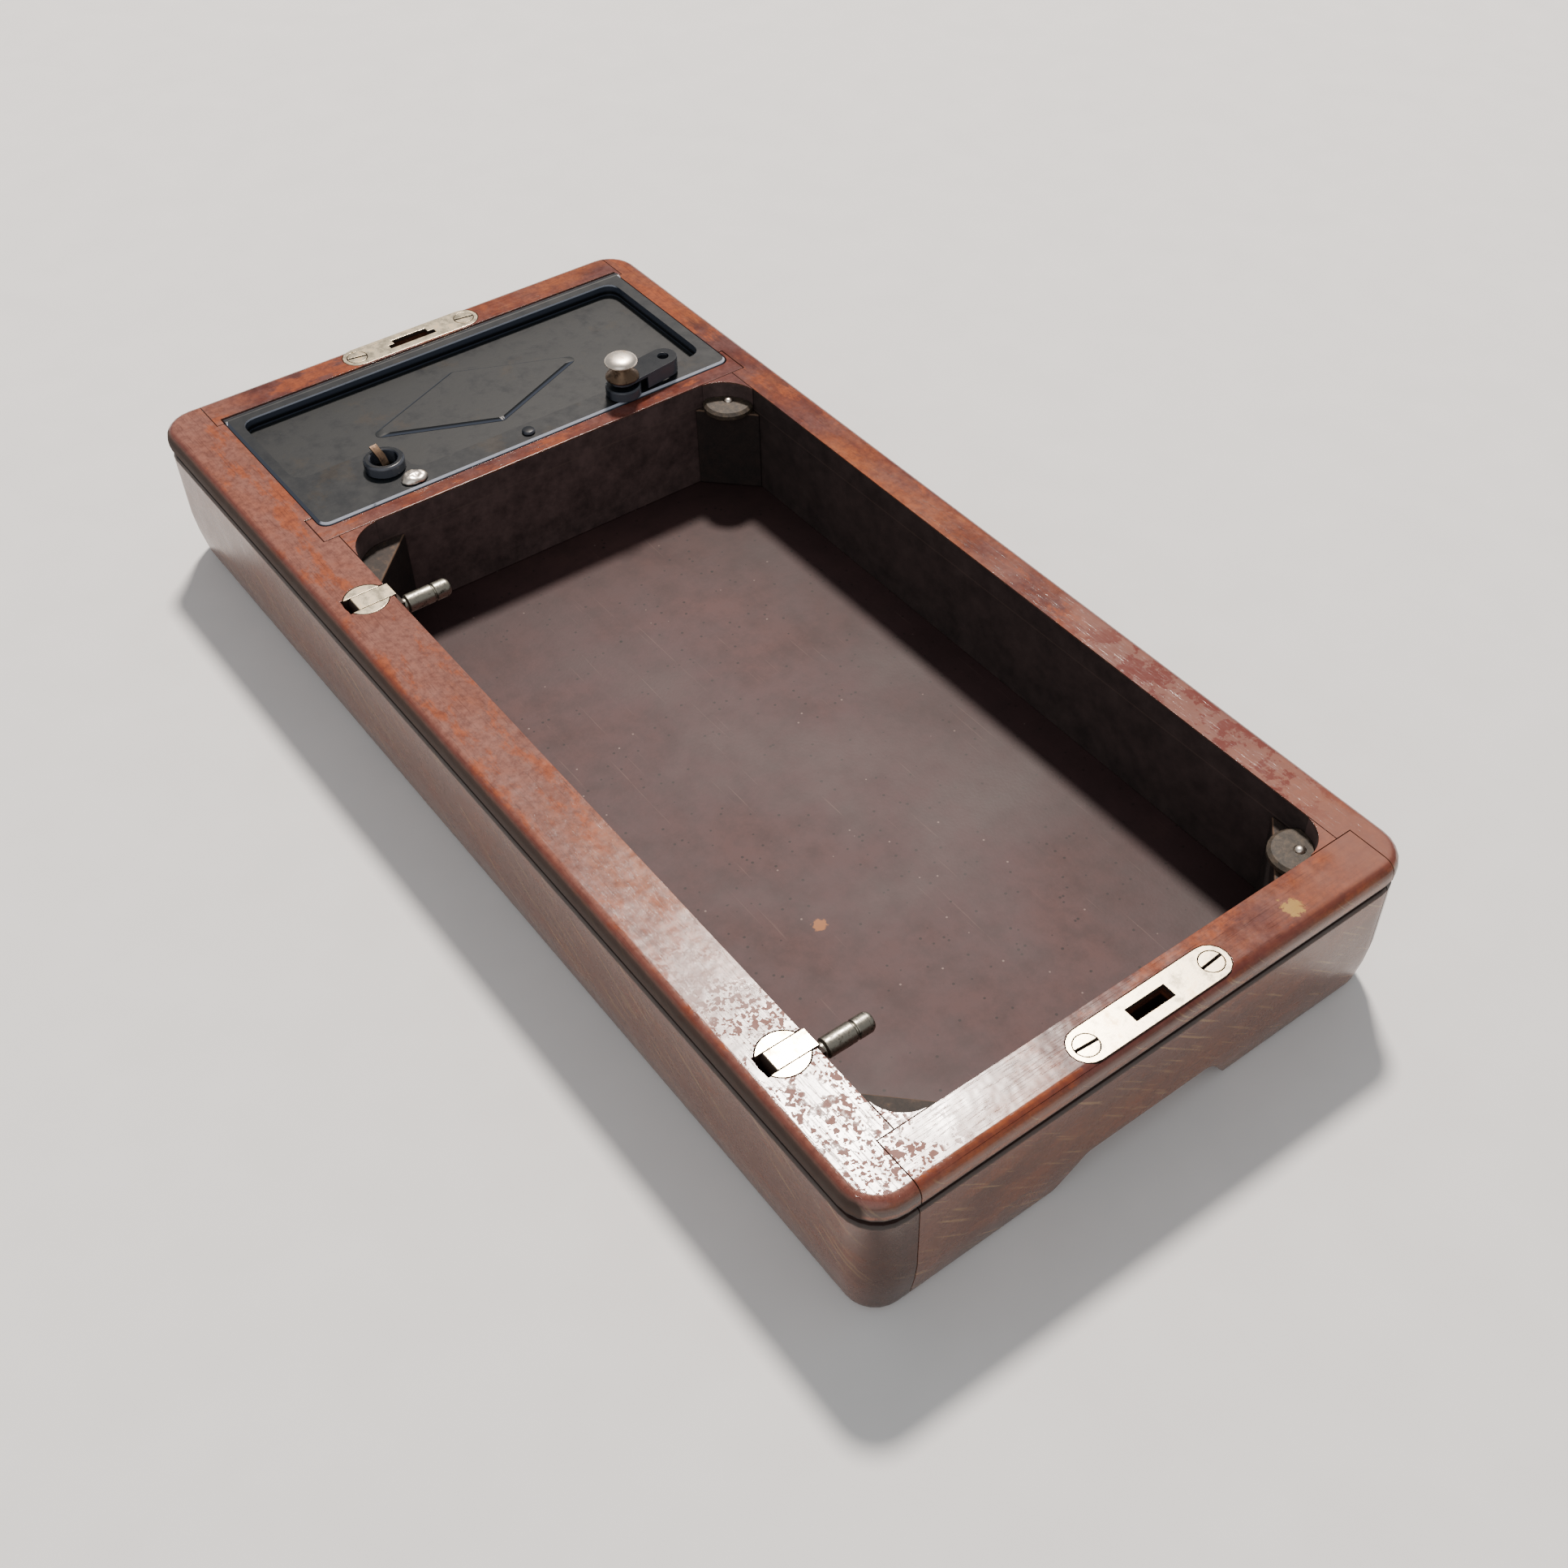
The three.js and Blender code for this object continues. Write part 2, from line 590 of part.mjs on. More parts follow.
const FIELD = {
  x0: X_BAY + SLACK + 2 * SHEET,
  x1: ROD_X - BEAD_R - SHEET / 2,
  y0: Y_FRONT + SLACK + SHEET,
  y1: Y_BACK - SLACK - SHEET,
};

// Eases each corner of a plan, starting at this distance from it.
function easeCorners(points, reach, steps = 5) {
  return points.flatMap(([x, y], i) => {
    const before = points.at(i - 1);
    const after = points[(i + 1) % points.length];
    const towards = ([px, py]) => {
      const share = reach / Math.hypot(px - x, py - y);
      return [x + (px - x) * share, y + (py - y) * share];
    };
    const [ax, ay] = towards(before);
    const [bx, by] = towards(after);
    return Array.from({ length: steps + 1 }, (_, step) => {
      const t = step / steps;
      const u = 1 - t;
      return [u * u * ax + 2 * u * t * x + t * t * bx, u * u * ay + 2 * u * t * y + t * t * by];
    });
  });
}

// Rhombus with rounded tips, drawn inwards by an inset.
function diamondPlan(cx, cy, inset) {
  const a = DIAMOND_WIDTH / 2;
  const b = DIAMOND_LENGTH / 2;
  const side = Math.hypot(a, b);
  const tip = Math.atan2(a, b);
  const back = DIAMOND_TIP_R + inset;
  const x = a - back * side / b;
  const y = b - back * side / a;
  const r = DIAMOND_TIP_R;
  return [
    ...arc(cx + x, cy, r, -tip, tip, 4),
    ...arc(cx, cy + y, r, tip, Math.PI - tip, 6),
    ...arc(cx - x, cy, r, Math.PI - tip, Math.PI + tip, 4),
    ...arc(cx, cy - y, r, Math.PI + tip, 2 * Math.PI - tip, 6),
  ];
}

// Plan of the sunk field, with the raised tab left standing in its back near corner.
function fieldPlan(grow) {
  const x0 = FIELD.x0 - grow;
  const x1 = FIELD.x1 + grow;
  const y0 = FIELD.y0 - grow;
  const y1 = FIELD.y1 + grow;
  const tabX = FIELD.x0 + TAB_X - grow;
  const tabY = FIELD.y1 - TAB_Y + grow;
  return easeCorners([[x0, y0], [x1, y0], [x1, y1], [tabX, y1], [tabX, tabY], [x0, tabY]], FIELD_CORNER);
}

function lidPanel() {
  const top = HEIGHT + LID_RISE;
  const foot = top - SKIRT;
  const outline = (inset) => roundedBox(LID.x0 + GAP + inset, ROD_X - inset / 2, LID.y0 + GAP + inset,
    LID.y1 - GAP - inset, [0.4, LID_CORNER_R - inset, LID_CORNER_R - inset, 0.4], 5);
  const shell = loft([
    outline(0).map(([x, y]) => [x, y, foot]),
    outline(0).map(([x, y]) => [x, y, top - 0.9]),
    outline(0.9).map(([x, y]) => [x, y, top]),
  ]);
  const underside = prism(outline(SHEET), foot - 1, top - SHEET);
  const panFloor = HEIGHT - FIELD_DEPTH;
  const pan = prism(fieldPlan(SHEET), panFloor - SHEET, top - SHEET / 2);
  const midX = (FIELD.x0 + FIELD.x1) / 2 + DIAMOND_SHIFT;
  const midY = (FIELD.y0 + FIELD.y1) / 2;
  const diamondRing = (inset, z) => diamondPlan(midX, midY, inset).map(([x, y]) => [x, y, z]);
  const diamond = loft([
    diamondRing(0, panFloor - SHEET / 2), diamondRing(0, panFloor + GAP / 2),
    diamondRing(DIAMOND_SLOPE, panFloor + DIAMOND_RISE),
  ]);
  const beadSpan = [LID.y0 + GAP, LID.y1 - GAP];
  const bead = alongY(cylinder(BEAD_R, beadSpan[0], beadSpan[1], 32)).translate([ROD_X, 0, ROD_Z]);
  const bore = alongY(cylinder(ROD_R + RUNNING, -FAR, FAR, 24)).translate([ROD_X, 0, ROD_Z]);
  return shell.subtract(underside)
    .add(pan)
    .subtract(prism(fieldPlan(0), panFloor, FAR))
    .add(diamond)
    .add(bead)
    .subtract(bore)
    .subtract(cylinder(BUSH_SPIGOT_R + GAP, 0, FAR).translate([LATCH_X, LATCH_Y, 0]))
    .subtract(cylinder(SPARE_SPIGOT_R + GAP, 0, FAR).translate([LID.x0 + GAP + SPARE_X, SPARE_Y, 0]))
    .subtract(lidRivet(LUG_RIVET_Y, GAP))
    .subtract(lidRivet(STUD_Y, GAP));
}

function lidRod(clearance) {
  const y0 = LID.y0 - ROD_END - clearance;
  const y1 = LID.y1 + ROD_END + clearance;
  return alongY(cylinder(ROD_R + clearance, y0, y1, 24)).translate([ROD_X, 0, ROD_Z]);
}

// Shank of a rivet through the lid's near edge.
function lidRivet(y, clearance) {
  const shank = RIVET_SHANK_R + clearance;
  return cylinder(shank, HEIGHT + LID_RISE - SHEET - clearance, HEIGHT + LID_RISE + 2 * GAP, 16)
    .translate([LATCH_X, y, 0]);
}

// ---- Lid latch, drawn with the spindle at the origin in plan ----

function latchBush() {
  const seat = HEIGHT + LID_RISE + GAP;
  const foot = HEIGHT + LID_RISE - SHEET - GAP;
  const r = SPINDLE_R + RUNNING;
  return turned([
    [r, foot], [BUSH_SPIGOT_R, foot], [BUSH_SPIGOT_R, seat], [BUSH_R, seat],
    [BUSH_R, seat + BUSH_HEIGHT - 0.6], [BUSH_R - 0.6, seat + BUSH_HEIGHT],
    [r, seat + BUSH_HEIGHT], [r, foot],
  ], 24);
}

function latchSpindle() {
  const lever = HEIGHT + LEVER_TOP + GAP;
  const cone = lever + CONE_HEIGHT;
  const foot = HEIGHT - CAM_DEPTH - CAM_THICK;
  return turned([
    [0, foot], [SPINDLE_R, foot], [SPINDLE_R, lever], [CONE_R, lever], [CONE_R, lever + 0.6],
    [CONE_R * 0.62, lever + CONE_HEIGHT * 0.55], [CONE_R * 0.4, cone], [0, cone],
  ], 24);
}

function latchLever() {
  const top = HEIGHT + LEVER_TOP;
  const reach = stadium(0, -LEVER_LENGTH / 2, LEVER_LENGTH + 2 * LEVER_R, 2 * LEVER_R);
  const hollow = stadium(0, -LEVER_LENGTH / 2, LEVER_LENGTH + 2 * (LEVER_R - SHEET),
    2 * (LEVER_R - SHEET));
  return prism(reach, top - LEVER_SKIRT, top)
    .subtract(prism(hollow, 0, top - SHEET))
    .subtract(box(-FAR, FAR, -LEVER_HEEL, FAR, 0, top - SHEET))
    .subtract(cylinder(SPINDLE_R + GAP, 0, FAR, 24))
    .subtract(cylinder(EYELET_R, 0, FAR, 20).translate([0, -LEVER_LENGTH, 0]));
}

function latchKnob() {
  const foot = HEIGHT + LEVER_TOP + GAP + CONE_HEIGHT + GAP;
  const crown = foot + KNOB_HEIGHT;
  return turned([
    [0, foot], [KNOB_R - 2.2, foot], [KNOB_R, foot + 1], [KNOB_R, foot + 1.5],
    [KNOB_R * 0.92, foot + KNOB_HEIGHT * 0.66], [KNOB_R * 0.66, crown - 0.4],
    [KNOB_R * 0.3, crown - 0.1], [0, crown],
  ], 24);
}

function latchCam() {
  const top = HEIGHT - CAM_DEPTH;
  const r = CAM_WIDTH / 2;
  const plan = [...arc(0, CAM_REACH - r, r, 0, Math.PI, 6), ...arc(0, 0, r * 1.6, Math.PI, 2 * Math.PI, 8)];
  return prism(plan, top - CAM_THICK, top).subtract(cylinder(SPINDLE_R + GAP, 0, FAR, 24));
}

// ---- Small pieces on the lid ----

function spareBush() {
  const seat = HEIGHT + LID_RISE + GAP;
  const foot = HEIGHT - SPARE_DEPTH;
  return turned([
    [0, foot], [SPARE_SPIGOT_R, foot], [SPARE_SPIGOT_R, seat], [SPARE_R, seat],
    [SPARE_R, seat + SPARE_HEIGHT - 0.7], [SPARE_R - 0.7, seat + SPARE_HEIGHT],
    [SPARE_BORE_R + 0.4, seat + SPARE_HEIGHT], [SPARE_BORE_R, seat + SPARE_HEIGHT - 0.5],
    [SPARE_BORE_R, foot + SPARE_FLOOR], [0, foot + SPARE_FLOOR],
  ], 24).translate([LID.x0 + GAP + SPARE_X, SPARE_Y, 0]);
}

// Bent end of a flat spring, standing on the bush's floor and leaning out over its rim.
function springStrip() {
  const foot = HEIGHT - SPARE_DEPTH + SPARE_FLOOR + GAP;
  const rise = SPARE_HEIGHT + SPARE_DEPTH + 1.6;
  const outline = [
    [-2.6, 0], [-1.2, 0], [-0.9, rise * 0.45], [1.4, rise * 0.8], [6.2, rise],
    [6, rise + STRIP_THICK], [1, rise * 0.8 + STRIP_THICK], [-1.2 - STRIP_THICK, rise * 0.5],
    [-1.5 - STRIP_THICK, STRIP_THICK], [-2.6, STRIP_THICK],
  ];
  return prism(outline, -STRIP_WIDTH / 2, STRIP_WIDTH / 2).rotate([90, 0, 0]).rotate([0, 0, 8])
    .translate([LID.x0 + GAP + SPARE_X, SPARE_Y, foot]);
}

function edgeLug() {
  const seat = HEIGHT + LID_RISE + GAP;
  const shank = cylinder(RIVET_SHANK_R, HEIGHT + LID_RISE - SHEET, seat + 0.2, 16);
  const head = turned([[0, seat], [LUG_RIVET_R, seat], [LUG_RIVET_R, seat + 0.6],
    [LUG_RIVET_R * 0.8, seat + LUG_RIVET_HEIGHT * 0.75], [LUG_RIVET_R * 0.4, seat + LUG_RIVET_HEIGHT],
    [0, seat + LUG_RIVET_HEIGHT]]);
  return head.add(shank).translate([LATCH_X, LUG_RIVET_Y, 0]);
}

function edgeStud() {
  const seat = HEIGHT + LID_RISE + GAP;
  const shank = cylinder(RIVET_SHANK_R, HEIGHT + LID_RISE - SHEET, seat + 0.2, 16);
  const head = turned([[0, seat], [STUD_R, seat], [STUD_R * 0.85, seat + STUD_HEIGHT * 0.8],
    [0, seat + STUD_HEIGHT]], 16);
  return head.add(shank).translate([LATCH_X, STUD_Y, 0]);
}

// ---- The object ----

const HINGES = {
  left: HINGE_X - HINGE_SPACING / 2,
  right: HINGE_X + HINGE_SPACING / 2,
};

let backRail = longRail(1);
for (const x of Object.values(HINGES)) {
  backRail = backRail.subtract(hingePocket().translate([x, HINGE_Y, 0]));
}
addPiece('back_rail', backRail, MAHOGANY);
addPiece('front_rail', longRail(-1), MAHOGANY);
addPiece('left_end_rail', endRail(-1), MAHOGANY);
addPiece('right_end_rail', endRail(1), MAHOGANY);
addPiece('cross_rail', crossRail(), MAHOGANY);
addPiece('floor_board', floorBoard(0), DARK_BOARD);

for (const [name, corner] of Object.entries(CORNERS)) {
  addPiece(`corner_filler_${name}`, cornerFiller(corner), MAHOGANY);
  addPiece(`support_post_${name}`, supportPost(corner), LEDGE_WOOD);
  if (name.startsWith('front')) {
    addPiece(`bed_pad_${name}`, bedPad(corner), FELT);
    addPiece(`pad_tack_${name}`, padTack(corner, 0), STEEL);
  }
}

for (const [name, side] of [['left', -1], ['right', 1]]) {
  addPiece(`lock_plate_${name}`, lockPlate(side), NICKEL);
  addPiece(`lock_screw_${name}_front`, lockScrew(side, -1, SCREW_TURN[name][0]), NICKEL);
  addPiece(`lock_screw_${name}_back`, lockScrew(side, 1, SCREW_TURN[name][1]), NICKEL);
}

for (const [name, x] of Object.entries(HINGES)) {
  const place = [x, HINGE_Y, 0];
  addPiece(`hinge_cup_${name}`, hingeCup().translate(place), NICKEL);
  addPiece(`hinge_axle_${name}`, hingeAxle(0).translate(place), STEEL);
  addPiece(`hinge_tongue_${name}`, hingeTongue().translate(place), NICKEL);
  addPiece(`bed_pin_${name}`, bedPin().translate(place), STEEL);
}

addPiece('lid_panel', lidPanel(), JAPAN);
addPiece('lid_hinge_rod', lidRod(0), STEEL);
addPiece('spare_latch_bush', spareBush(), JAPAN);
addPiece('broken_spring_strip', springStrip(), STEEL);
addPiece('lid_edge_lug', edgeLug(), NICKEL);
addPiece('lid_edge_stud', edgeStud(), JAPAN);

const latchPlace = [LATCH_X, LATCH_Y, 0];
addPiece('latch_bush', latchBush().translate(latchPlace), JAPAN);
addPiece('latch_spindle', latchSpindle().translate(latchPlace), NICKEL);
addPiece('latch_lever', latchLever().rotate([0, 0, LEVER_SWING]).translate(latchPlace), JAPAN);
addPiece('latch_knob', latchKnob().translate(latchPlace), NICKEL);
addPiece('latch_cam', latchCam().translate(latchPlace), STEEL);

export default part;
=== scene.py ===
"""Looks of the wooden base of a portable hand-crank sewing machine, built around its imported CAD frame."""
import json
import math

import bpy
from mathutils import Matrix, Vector


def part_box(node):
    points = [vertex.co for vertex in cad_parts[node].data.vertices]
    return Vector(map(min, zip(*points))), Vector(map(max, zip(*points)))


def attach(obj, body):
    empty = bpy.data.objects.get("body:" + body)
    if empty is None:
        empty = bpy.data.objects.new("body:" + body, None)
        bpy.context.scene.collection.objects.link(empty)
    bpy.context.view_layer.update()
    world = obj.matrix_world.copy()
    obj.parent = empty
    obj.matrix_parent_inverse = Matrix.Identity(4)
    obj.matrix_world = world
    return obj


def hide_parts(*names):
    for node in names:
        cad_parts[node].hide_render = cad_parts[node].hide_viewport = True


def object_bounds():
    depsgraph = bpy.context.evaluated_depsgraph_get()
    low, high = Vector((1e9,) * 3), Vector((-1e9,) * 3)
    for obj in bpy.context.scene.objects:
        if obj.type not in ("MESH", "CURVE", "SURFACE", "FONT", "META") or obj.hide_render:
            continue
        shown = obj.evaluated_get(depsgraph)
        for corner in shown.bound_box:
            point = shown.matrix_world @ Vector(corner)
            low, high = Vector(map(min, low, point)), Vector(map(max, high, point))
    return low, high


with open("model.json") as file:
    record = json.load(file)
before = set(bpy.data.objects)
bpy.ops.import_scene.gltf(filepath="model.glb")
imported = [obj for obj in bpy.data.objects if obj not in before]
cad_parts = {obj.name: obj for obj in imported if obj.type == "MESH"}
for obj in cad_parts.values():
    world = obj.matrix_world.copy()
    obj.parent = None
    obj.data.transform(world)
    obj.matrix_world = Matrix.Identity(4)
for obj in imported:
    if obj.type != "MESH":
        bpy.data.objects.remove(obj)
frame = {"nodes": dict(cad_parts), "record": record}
cad_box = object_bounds()

MM = 0.001
NODES = frame["nodes"]
BODY_OF = {node: body for body, nodes in frame["record"]["behaviour"]["bodies"].items() for node in nodes}
CORNERS = ("front_left", "back_left", "front_right", "back_right")
PADDED_CORNERS = ("front_left", "front_right")


# ---- Places, read off the CAD pieces ----

def spot(node):
    """Lowest corner, highest corner and middle of a CAD piece."""
    low, high = (Vector(corner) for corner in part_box(node))
    return low, high, (low + high) / 2


TOP = spot("back_rail")[1].z
RECESS_LEFT = spot("left_end_rail")[1].x
RECESS_RIGHT = spot("cross_rail")[0].x
RECESS_FRONT = spot("front_rail")[1].y
RECESS_BACK = spot("back_rail")[0].y
OUT_X = spot("back_rail")[1].x
OUT_Y = spot("back_rail")[1].y
LIP_FOOT = TOP - 6.0 * MM           # lower edge of the lip that runs round the frame
GROOVE_FOOT = TOP - 11.6 * MM       # lower edge of the groove under the lip
PAINT_LINE = TOP - 0.5 * MM         # the recess is painted up to here
PALE_HAIRLINE = TOP - 9.7 * MM           # a pale hairline runs round the recess walls here
FIELD_FLOOR = TOP - 4.0 * MM        # sunk field of the compartment lid
KNOCK = (-OUT_X + 13.3 * MM, RECESS_FRONT + 36.4 * MM, TOP)
CHIP = (RECESS_LEFT + 98.2 * MM, RECESS_BACK - 46.7 * MM, spot("floor_board")[1].z)


# ---- Camera ----

def place_camera():
    """The camera stands high behind the left end, looking down across the recess to the compartment."""
    azimuth, elevation, roll = 232.17, 46.41, 0.2
    camera = bpy.data.cameras.new("camera")
    camera.lens = 42.45
    camera.sensor_width = 36
    camera.shift_x = -0.043
    camera.shift_y = 0.0198
    camera.clip_start = 0.01
    holder = bpy.data.objects.new("camera", camera)
    bpy.context.collection.objects.link(holder)
    holder.location = (-0.4051, 0.2544, 0.4581)
    turn = Matrix.Identity(3)
    for angle, axis in ((azimuth, "Z"), (90 - elevation, "X"), (roll, "Z")):
        turn = turn @ Matrix.Rotation(math.radians(angle), 3, axis)
    holder.rotation_euler = turn.to_euler()
    bpy.context.scene.camera = holder


place_camera()


# ---- Materials ----

def linear(code):
    """An sRGB hex colour as linear red, green, blue and alpha."""
    parts = [int(code[i:i + 2], 16) / 255 for i in (0, 2, 4)]
    return [v / 12.92 if v <= 0.04045 else ((v + 0.055) / 1.055) ** 2.4 for v in parts] + [1]


def add(m, kind, inputs=None, out=0, stops=None, **settings):
    """Adds a node to material m with its settings, links or sets its inputs, and gives one of its outputs.
    A colour is a hex string, and stops are a ramp's places and colours."""
    node = m.node_tree.nodes.new("ShaderNode" + kind)
    for key, value in settings.items():
        setattr(node, key, value)
    for key, value in (inputs or {}).items():
        if isinstance(value, bpy.types.NodeSocket):
            m.node_tree.links.new(value, node.inputs[key])
        else:
            node.inputs[key].default_value = linear(value) if isinstance(value, str) else value
    if stops:
        elements = node.color_ramp.elements
        while len(elements) < len(stops):
            elements.new(0.5)
        for element, (place, colour) in zip(elements, stops):
            element.position = place
            element.color = linear(colour)
    return node.outputs[out]


def new_material(name):
    """A node material with its shader, and the piece's own coordinates and normal."""
    m = bpy.data.materials.new(name)
    m.use_nodes = True
    at = add(m, "TexCoord", out="Object")
    return m, m.node_tree.nodes["Principled BSDF"], at, at.node.outputs["Normal"]


def dress_shader(m, shader, **sockets):
    """Links or sets the shader's sockets. An underscore stands for a space."""
    for key, value in sockets.items():
        socket = shader.inputs[key.replace("_", " ")]
        if isinstance(value, bpy.types.NodeSocket):
            m.node_tree.links.new(value, socket)
        else:
            socket.default_value = value


def fade_in(m, mask, *stretches, most=1.0):
    """Keeps a mask only past each stretch, given as a value and where its fading in starts and stops."""
    for value, start, stop in stretches:
        part = add(m, "MapRange", {"Value": value, "From Min": start, "From Max": stop, "To Max": most})
        mask = add(m, "Math", {0: mask, 1: part}, operation="MULTIPLY")
    return mask


def polished_mahogany(m, at, grain, y):
    """Colour of the polished wood and where its pores are, from the growth figure up to the patina."""
    # Growth figure, 6 mm wide and 35 mm long.
    figure_at = add(m, "Mapping", {"Vector": grain, "Scale": (28, 150, 150)})
    figure = add(m, "TexNoise", {"Vector": figure_at, "Scale": 1.0, "Detail": 6.0, "Roughness": 0.62})
    colour = add(m, "ValToRGB", {"Fac": figure},
                 stops=[(0.3, "3f1c17"), (0.45, "5f2c21"), (0.57, "783b2a"), (0.72, "8e4d30")])
    # Clouds of purple-brown stain, 60 mm across.
    stain = add(m, "TexNoise", {"Vector": at, "Scale": 17.0, "Detail": 5.0, "Roughness": 0.62})
    stain = add(m, "MapRange", {"Value": stain, "From Min": 0.42, "From Max": 0.64, "To Max": 0.6})
    colour = add(m, "Mix", {0: stain, 6: colour, 7: "4a2a2b"}, 2, data_type="RGBA")
    # A purple-grey bloom on the old polish, in patches 20 to 40 mm across, heaviest on the back rail.
    bloom = add(m, "TexNoise", {"Vector": at, "Scale": 34.0, "Detail": 8.0, "Roughness": 0.72})
    bloom = add(m, "MapRange", {"Value": bloom, "From Min": 0.45, "From Max": 0.54, "To Max": 0.4})
    behind = add(m, "MapRange", {"Value": y, "From Min": 0.8 * RECESS_BACK, "From Max": RECESS_BACK,
                                 "To Max": 0.32})
    bloom = add(m, "Math", {0: bloom, 1: behind}, operation="ADD", use_clamp=True)
    colour = add(m, "Mix", {0: bloom, 6: colour, 7: "835a54"}, 2, data_type="RGBA")
    # The back rail has faded paler than the rest.
    faded = add(m, "Math", {0: behind, 1: 1.3}, operation="MULTIPLY")
    colour = add(m, "Mix", {0: faded, 6: colour, 7: "a9725f"}, 2, data_type="RGBA")
    # Clouds of orange where the polish has thinned, 40 mm wide and 90 mm long.
    thin_at = add(m, "Mapping", {"Vector": grain, "Location": (3, 1, 2), "Scale": (11, 24, 24)})
    thin = add(m, "TexNoise", {"Vector": thin_at, "Scale": 1.0, "Detail": 7.0, "Roughness": 0.66})
    thin = add(m, "MapRange", {"Value": thin, "From Min": 0.49, "From Max": 0.66, "To Max": 0.8})
    colour = add(m, "Mix", {0: thin, 6: colour, 7: "a3592f"}, 2, data_type="RGBA")
    # Scorched orange patches with ragged edges, 10 mm wide and 30 mm long.
    scorch_at = add(m, "Mapping", {"Vector": grain, "Location": (7, 3, 5), "Scale": (34, 80, 80)})
    scorch = add(m, "TexNoise", {"Vector": scorch_at, "Scale": 1.0, "Detail": 9.0, "Roughness": 0.7})
    scorch = add(m, "MapRange", {"Value": scorch, "From Min": 0.525, "From Max": 0.585, "To Max": 0.75})
    colour = add(m, "Mix", {0: scorch, 6: colour, 7: "a2532d"}, 2, data_type="RGBA")
    # Rubbed streaks along the grain, 2 mm wide and 12 mm long.
    streak_at = add(m, "Mapping", {"Vector": grain, "Location": (1, 5, 2), "Scale": (62, 330, 330)})
    streak = add(m, "TexNoise", {"Vector": streak_at, "Scale": 1.0, "Detail": 8.0, "Roughness": 0.7})
    streak = add(m, "MapRange", {"Value": streak, "From Min": 0.56, "From Max": 0.68})
    streak = add(m, "Math", {0: streak, 1: thin}, operation="MULTIPLY")
    colour = add(m, "Mix", {0: streak, 6: colour, 7: "b06d42"}, 2, data_type="RGBA")
    # Mottled patina, 1 to 4 mm.
    patina = add(m, "TexNoise", {"Vector": at, "Scale": 330.0, "Detail": 6.0, "Roughness": 0.75})
    patina = add(m, "MapRange", {"Value": patina, "From Min": 0.42, "From Max": 0.62, "To Max": 0.5})
    colour = add(m, "Mix", {0: patina, 6: colour, 7: "4b2420"}, 2, data_type="RGBA")
    # Open pores, 0.3 mm wide and 8 mm long.
    pore_at = add(m, "Mapping", {"Vector": grain, "Scale": (120, 3000, 3000)})
    pores = add(m, "TexNoise", {"Vector": pore_at, "Scale": 1.0, "Detail": 3.0})
    pores = add(m, "MapRange", {"Value": pores, "From Min": 0.56, "From Max": 0.74, "To Max": 0.5})
    return add(m, "Mix", {0: pores, 6: colour, 7: "2a120f"}, 2, data_type="RGBA"), pores


def flaked_polish(m, colour, at, x, y, on_top):
    """Angular chips of bare red-brown wood at the left end of the back rail, and stain left in blotches on
    paler wood at the left end of the front rail. Gives the colour and the flakes."""
    wobble = add(m, "TexNoise", {"Vector": at, "Scale": 700.0, "Detail": 4.0}, "Color")
    bent = add(m, "VectorMath", {0: wobble, 1: (0.0014, 0.0014, 0.0014)}, operation="MULTIPLY")
    bent = add(m, "VectorMath", {0: at, 1: bent}, operation="ADD")
    flakes = None
    for cells, share in ((420.0, 0.9), (760.0, 0.84), (1300.0, 0.8)):
        cell = add(m, "TexVoronoi", {"Vector": bent, "Scale": cells}, "Color")
        cell = add(m, "SeparateColor", {"Color": cell})
        cell = add(m, "Math", {0: cell, 1: share}, operation="GREATER_THAN")
        flakes = cell if flakes is None else add(m, "Math", {0: cell, 1: flakes}, operation="MAXIMUM")
    zone = add(m, "TexNoise", {"Vector": at, "Scale": 60.0, "Detail": 6.0, "Roughness": 0.6})
    zone = add(m, "MapRange", {"Value": zone, "From Min": 0.41, "From Max": 0.46})
    flakes = add(m, "Math", {0: flakes, 1: zone}, operation="MULTIPLY")
    flakes = fade_in(m, flakes, (x, 0.55 * RECESS_LEFT, 0.75 * RECESS_LEFT),
                     (y, 0.8 * RECESS_BACK, 0.95 * RECESS_BACK))
    flakes = add(m, "Math", {0: flakes, 1: on_top}, operation="MULTIPLY")
    flake_shown = add(m, "Math", {0: flakes, 1: 0.8}, operation="MULTIPLY")
    colour = add(m, "Mix", {0: flake_shown, 6: colour, 7: "7f3f2c"}, 2, data_type="RGBA")
    # The paler wood lies in patches 30 mm across, and the blotches are 5 to 15 mm across.
    pale = add(m, "TexNoise", {"Vector": at, "Scale": 30.0, "Detail": 4.0})
    pale = add(m, "MapRange", {"Value": pale, "From Min": 0.42, "From Max": 0.52})
    pale = fade_in(m, pale, (x, 0.1 * RECESS_LEFT, 0.4 * RECESS_LEFT), (y, 0.5 * RECESS_FRONT, RECESS_FRONT),
                   most=0.85)
    pale = add(m, "Math", {0: pale, 1: on_top}, operation="MULTIPLY")
    colour = add(m, "Mix", {0: pale, 6: colour, 7: "90655a"}, 2, data_type="RGBA")
    blotch = add(m, "TexNoise", {"Vector": bent, "Scale": 90.0, "Detail": 8.0, "Roughness": 0.72})
    blotch = add(m, "MapRange", {"Value": blotch, "From Min": 0.5, "From Max": 0.535})
    blotch = fade_in(m, blotch, (x, 0.35 * RECESS_LEFT, 0.5 * RECESS_LEFT), (x, -0.9 * OUT_X, -0.8 * OUT_X),
                     (y, 0.5 * RECESS_FRONT, RECESS_FRONT))
    blotch = add(m, "Math", {0: blotch, 1: on_top}, operation="MULTIPLY")
    blotch = add(m, "Math", {0: blotch, 1: 0.75}, operation="MULTIPLY")
    return add(m, "Mix", {0: blotch, 6: colour, 7: "6a2a24"}, 2, data_type="RGBA"), flakes


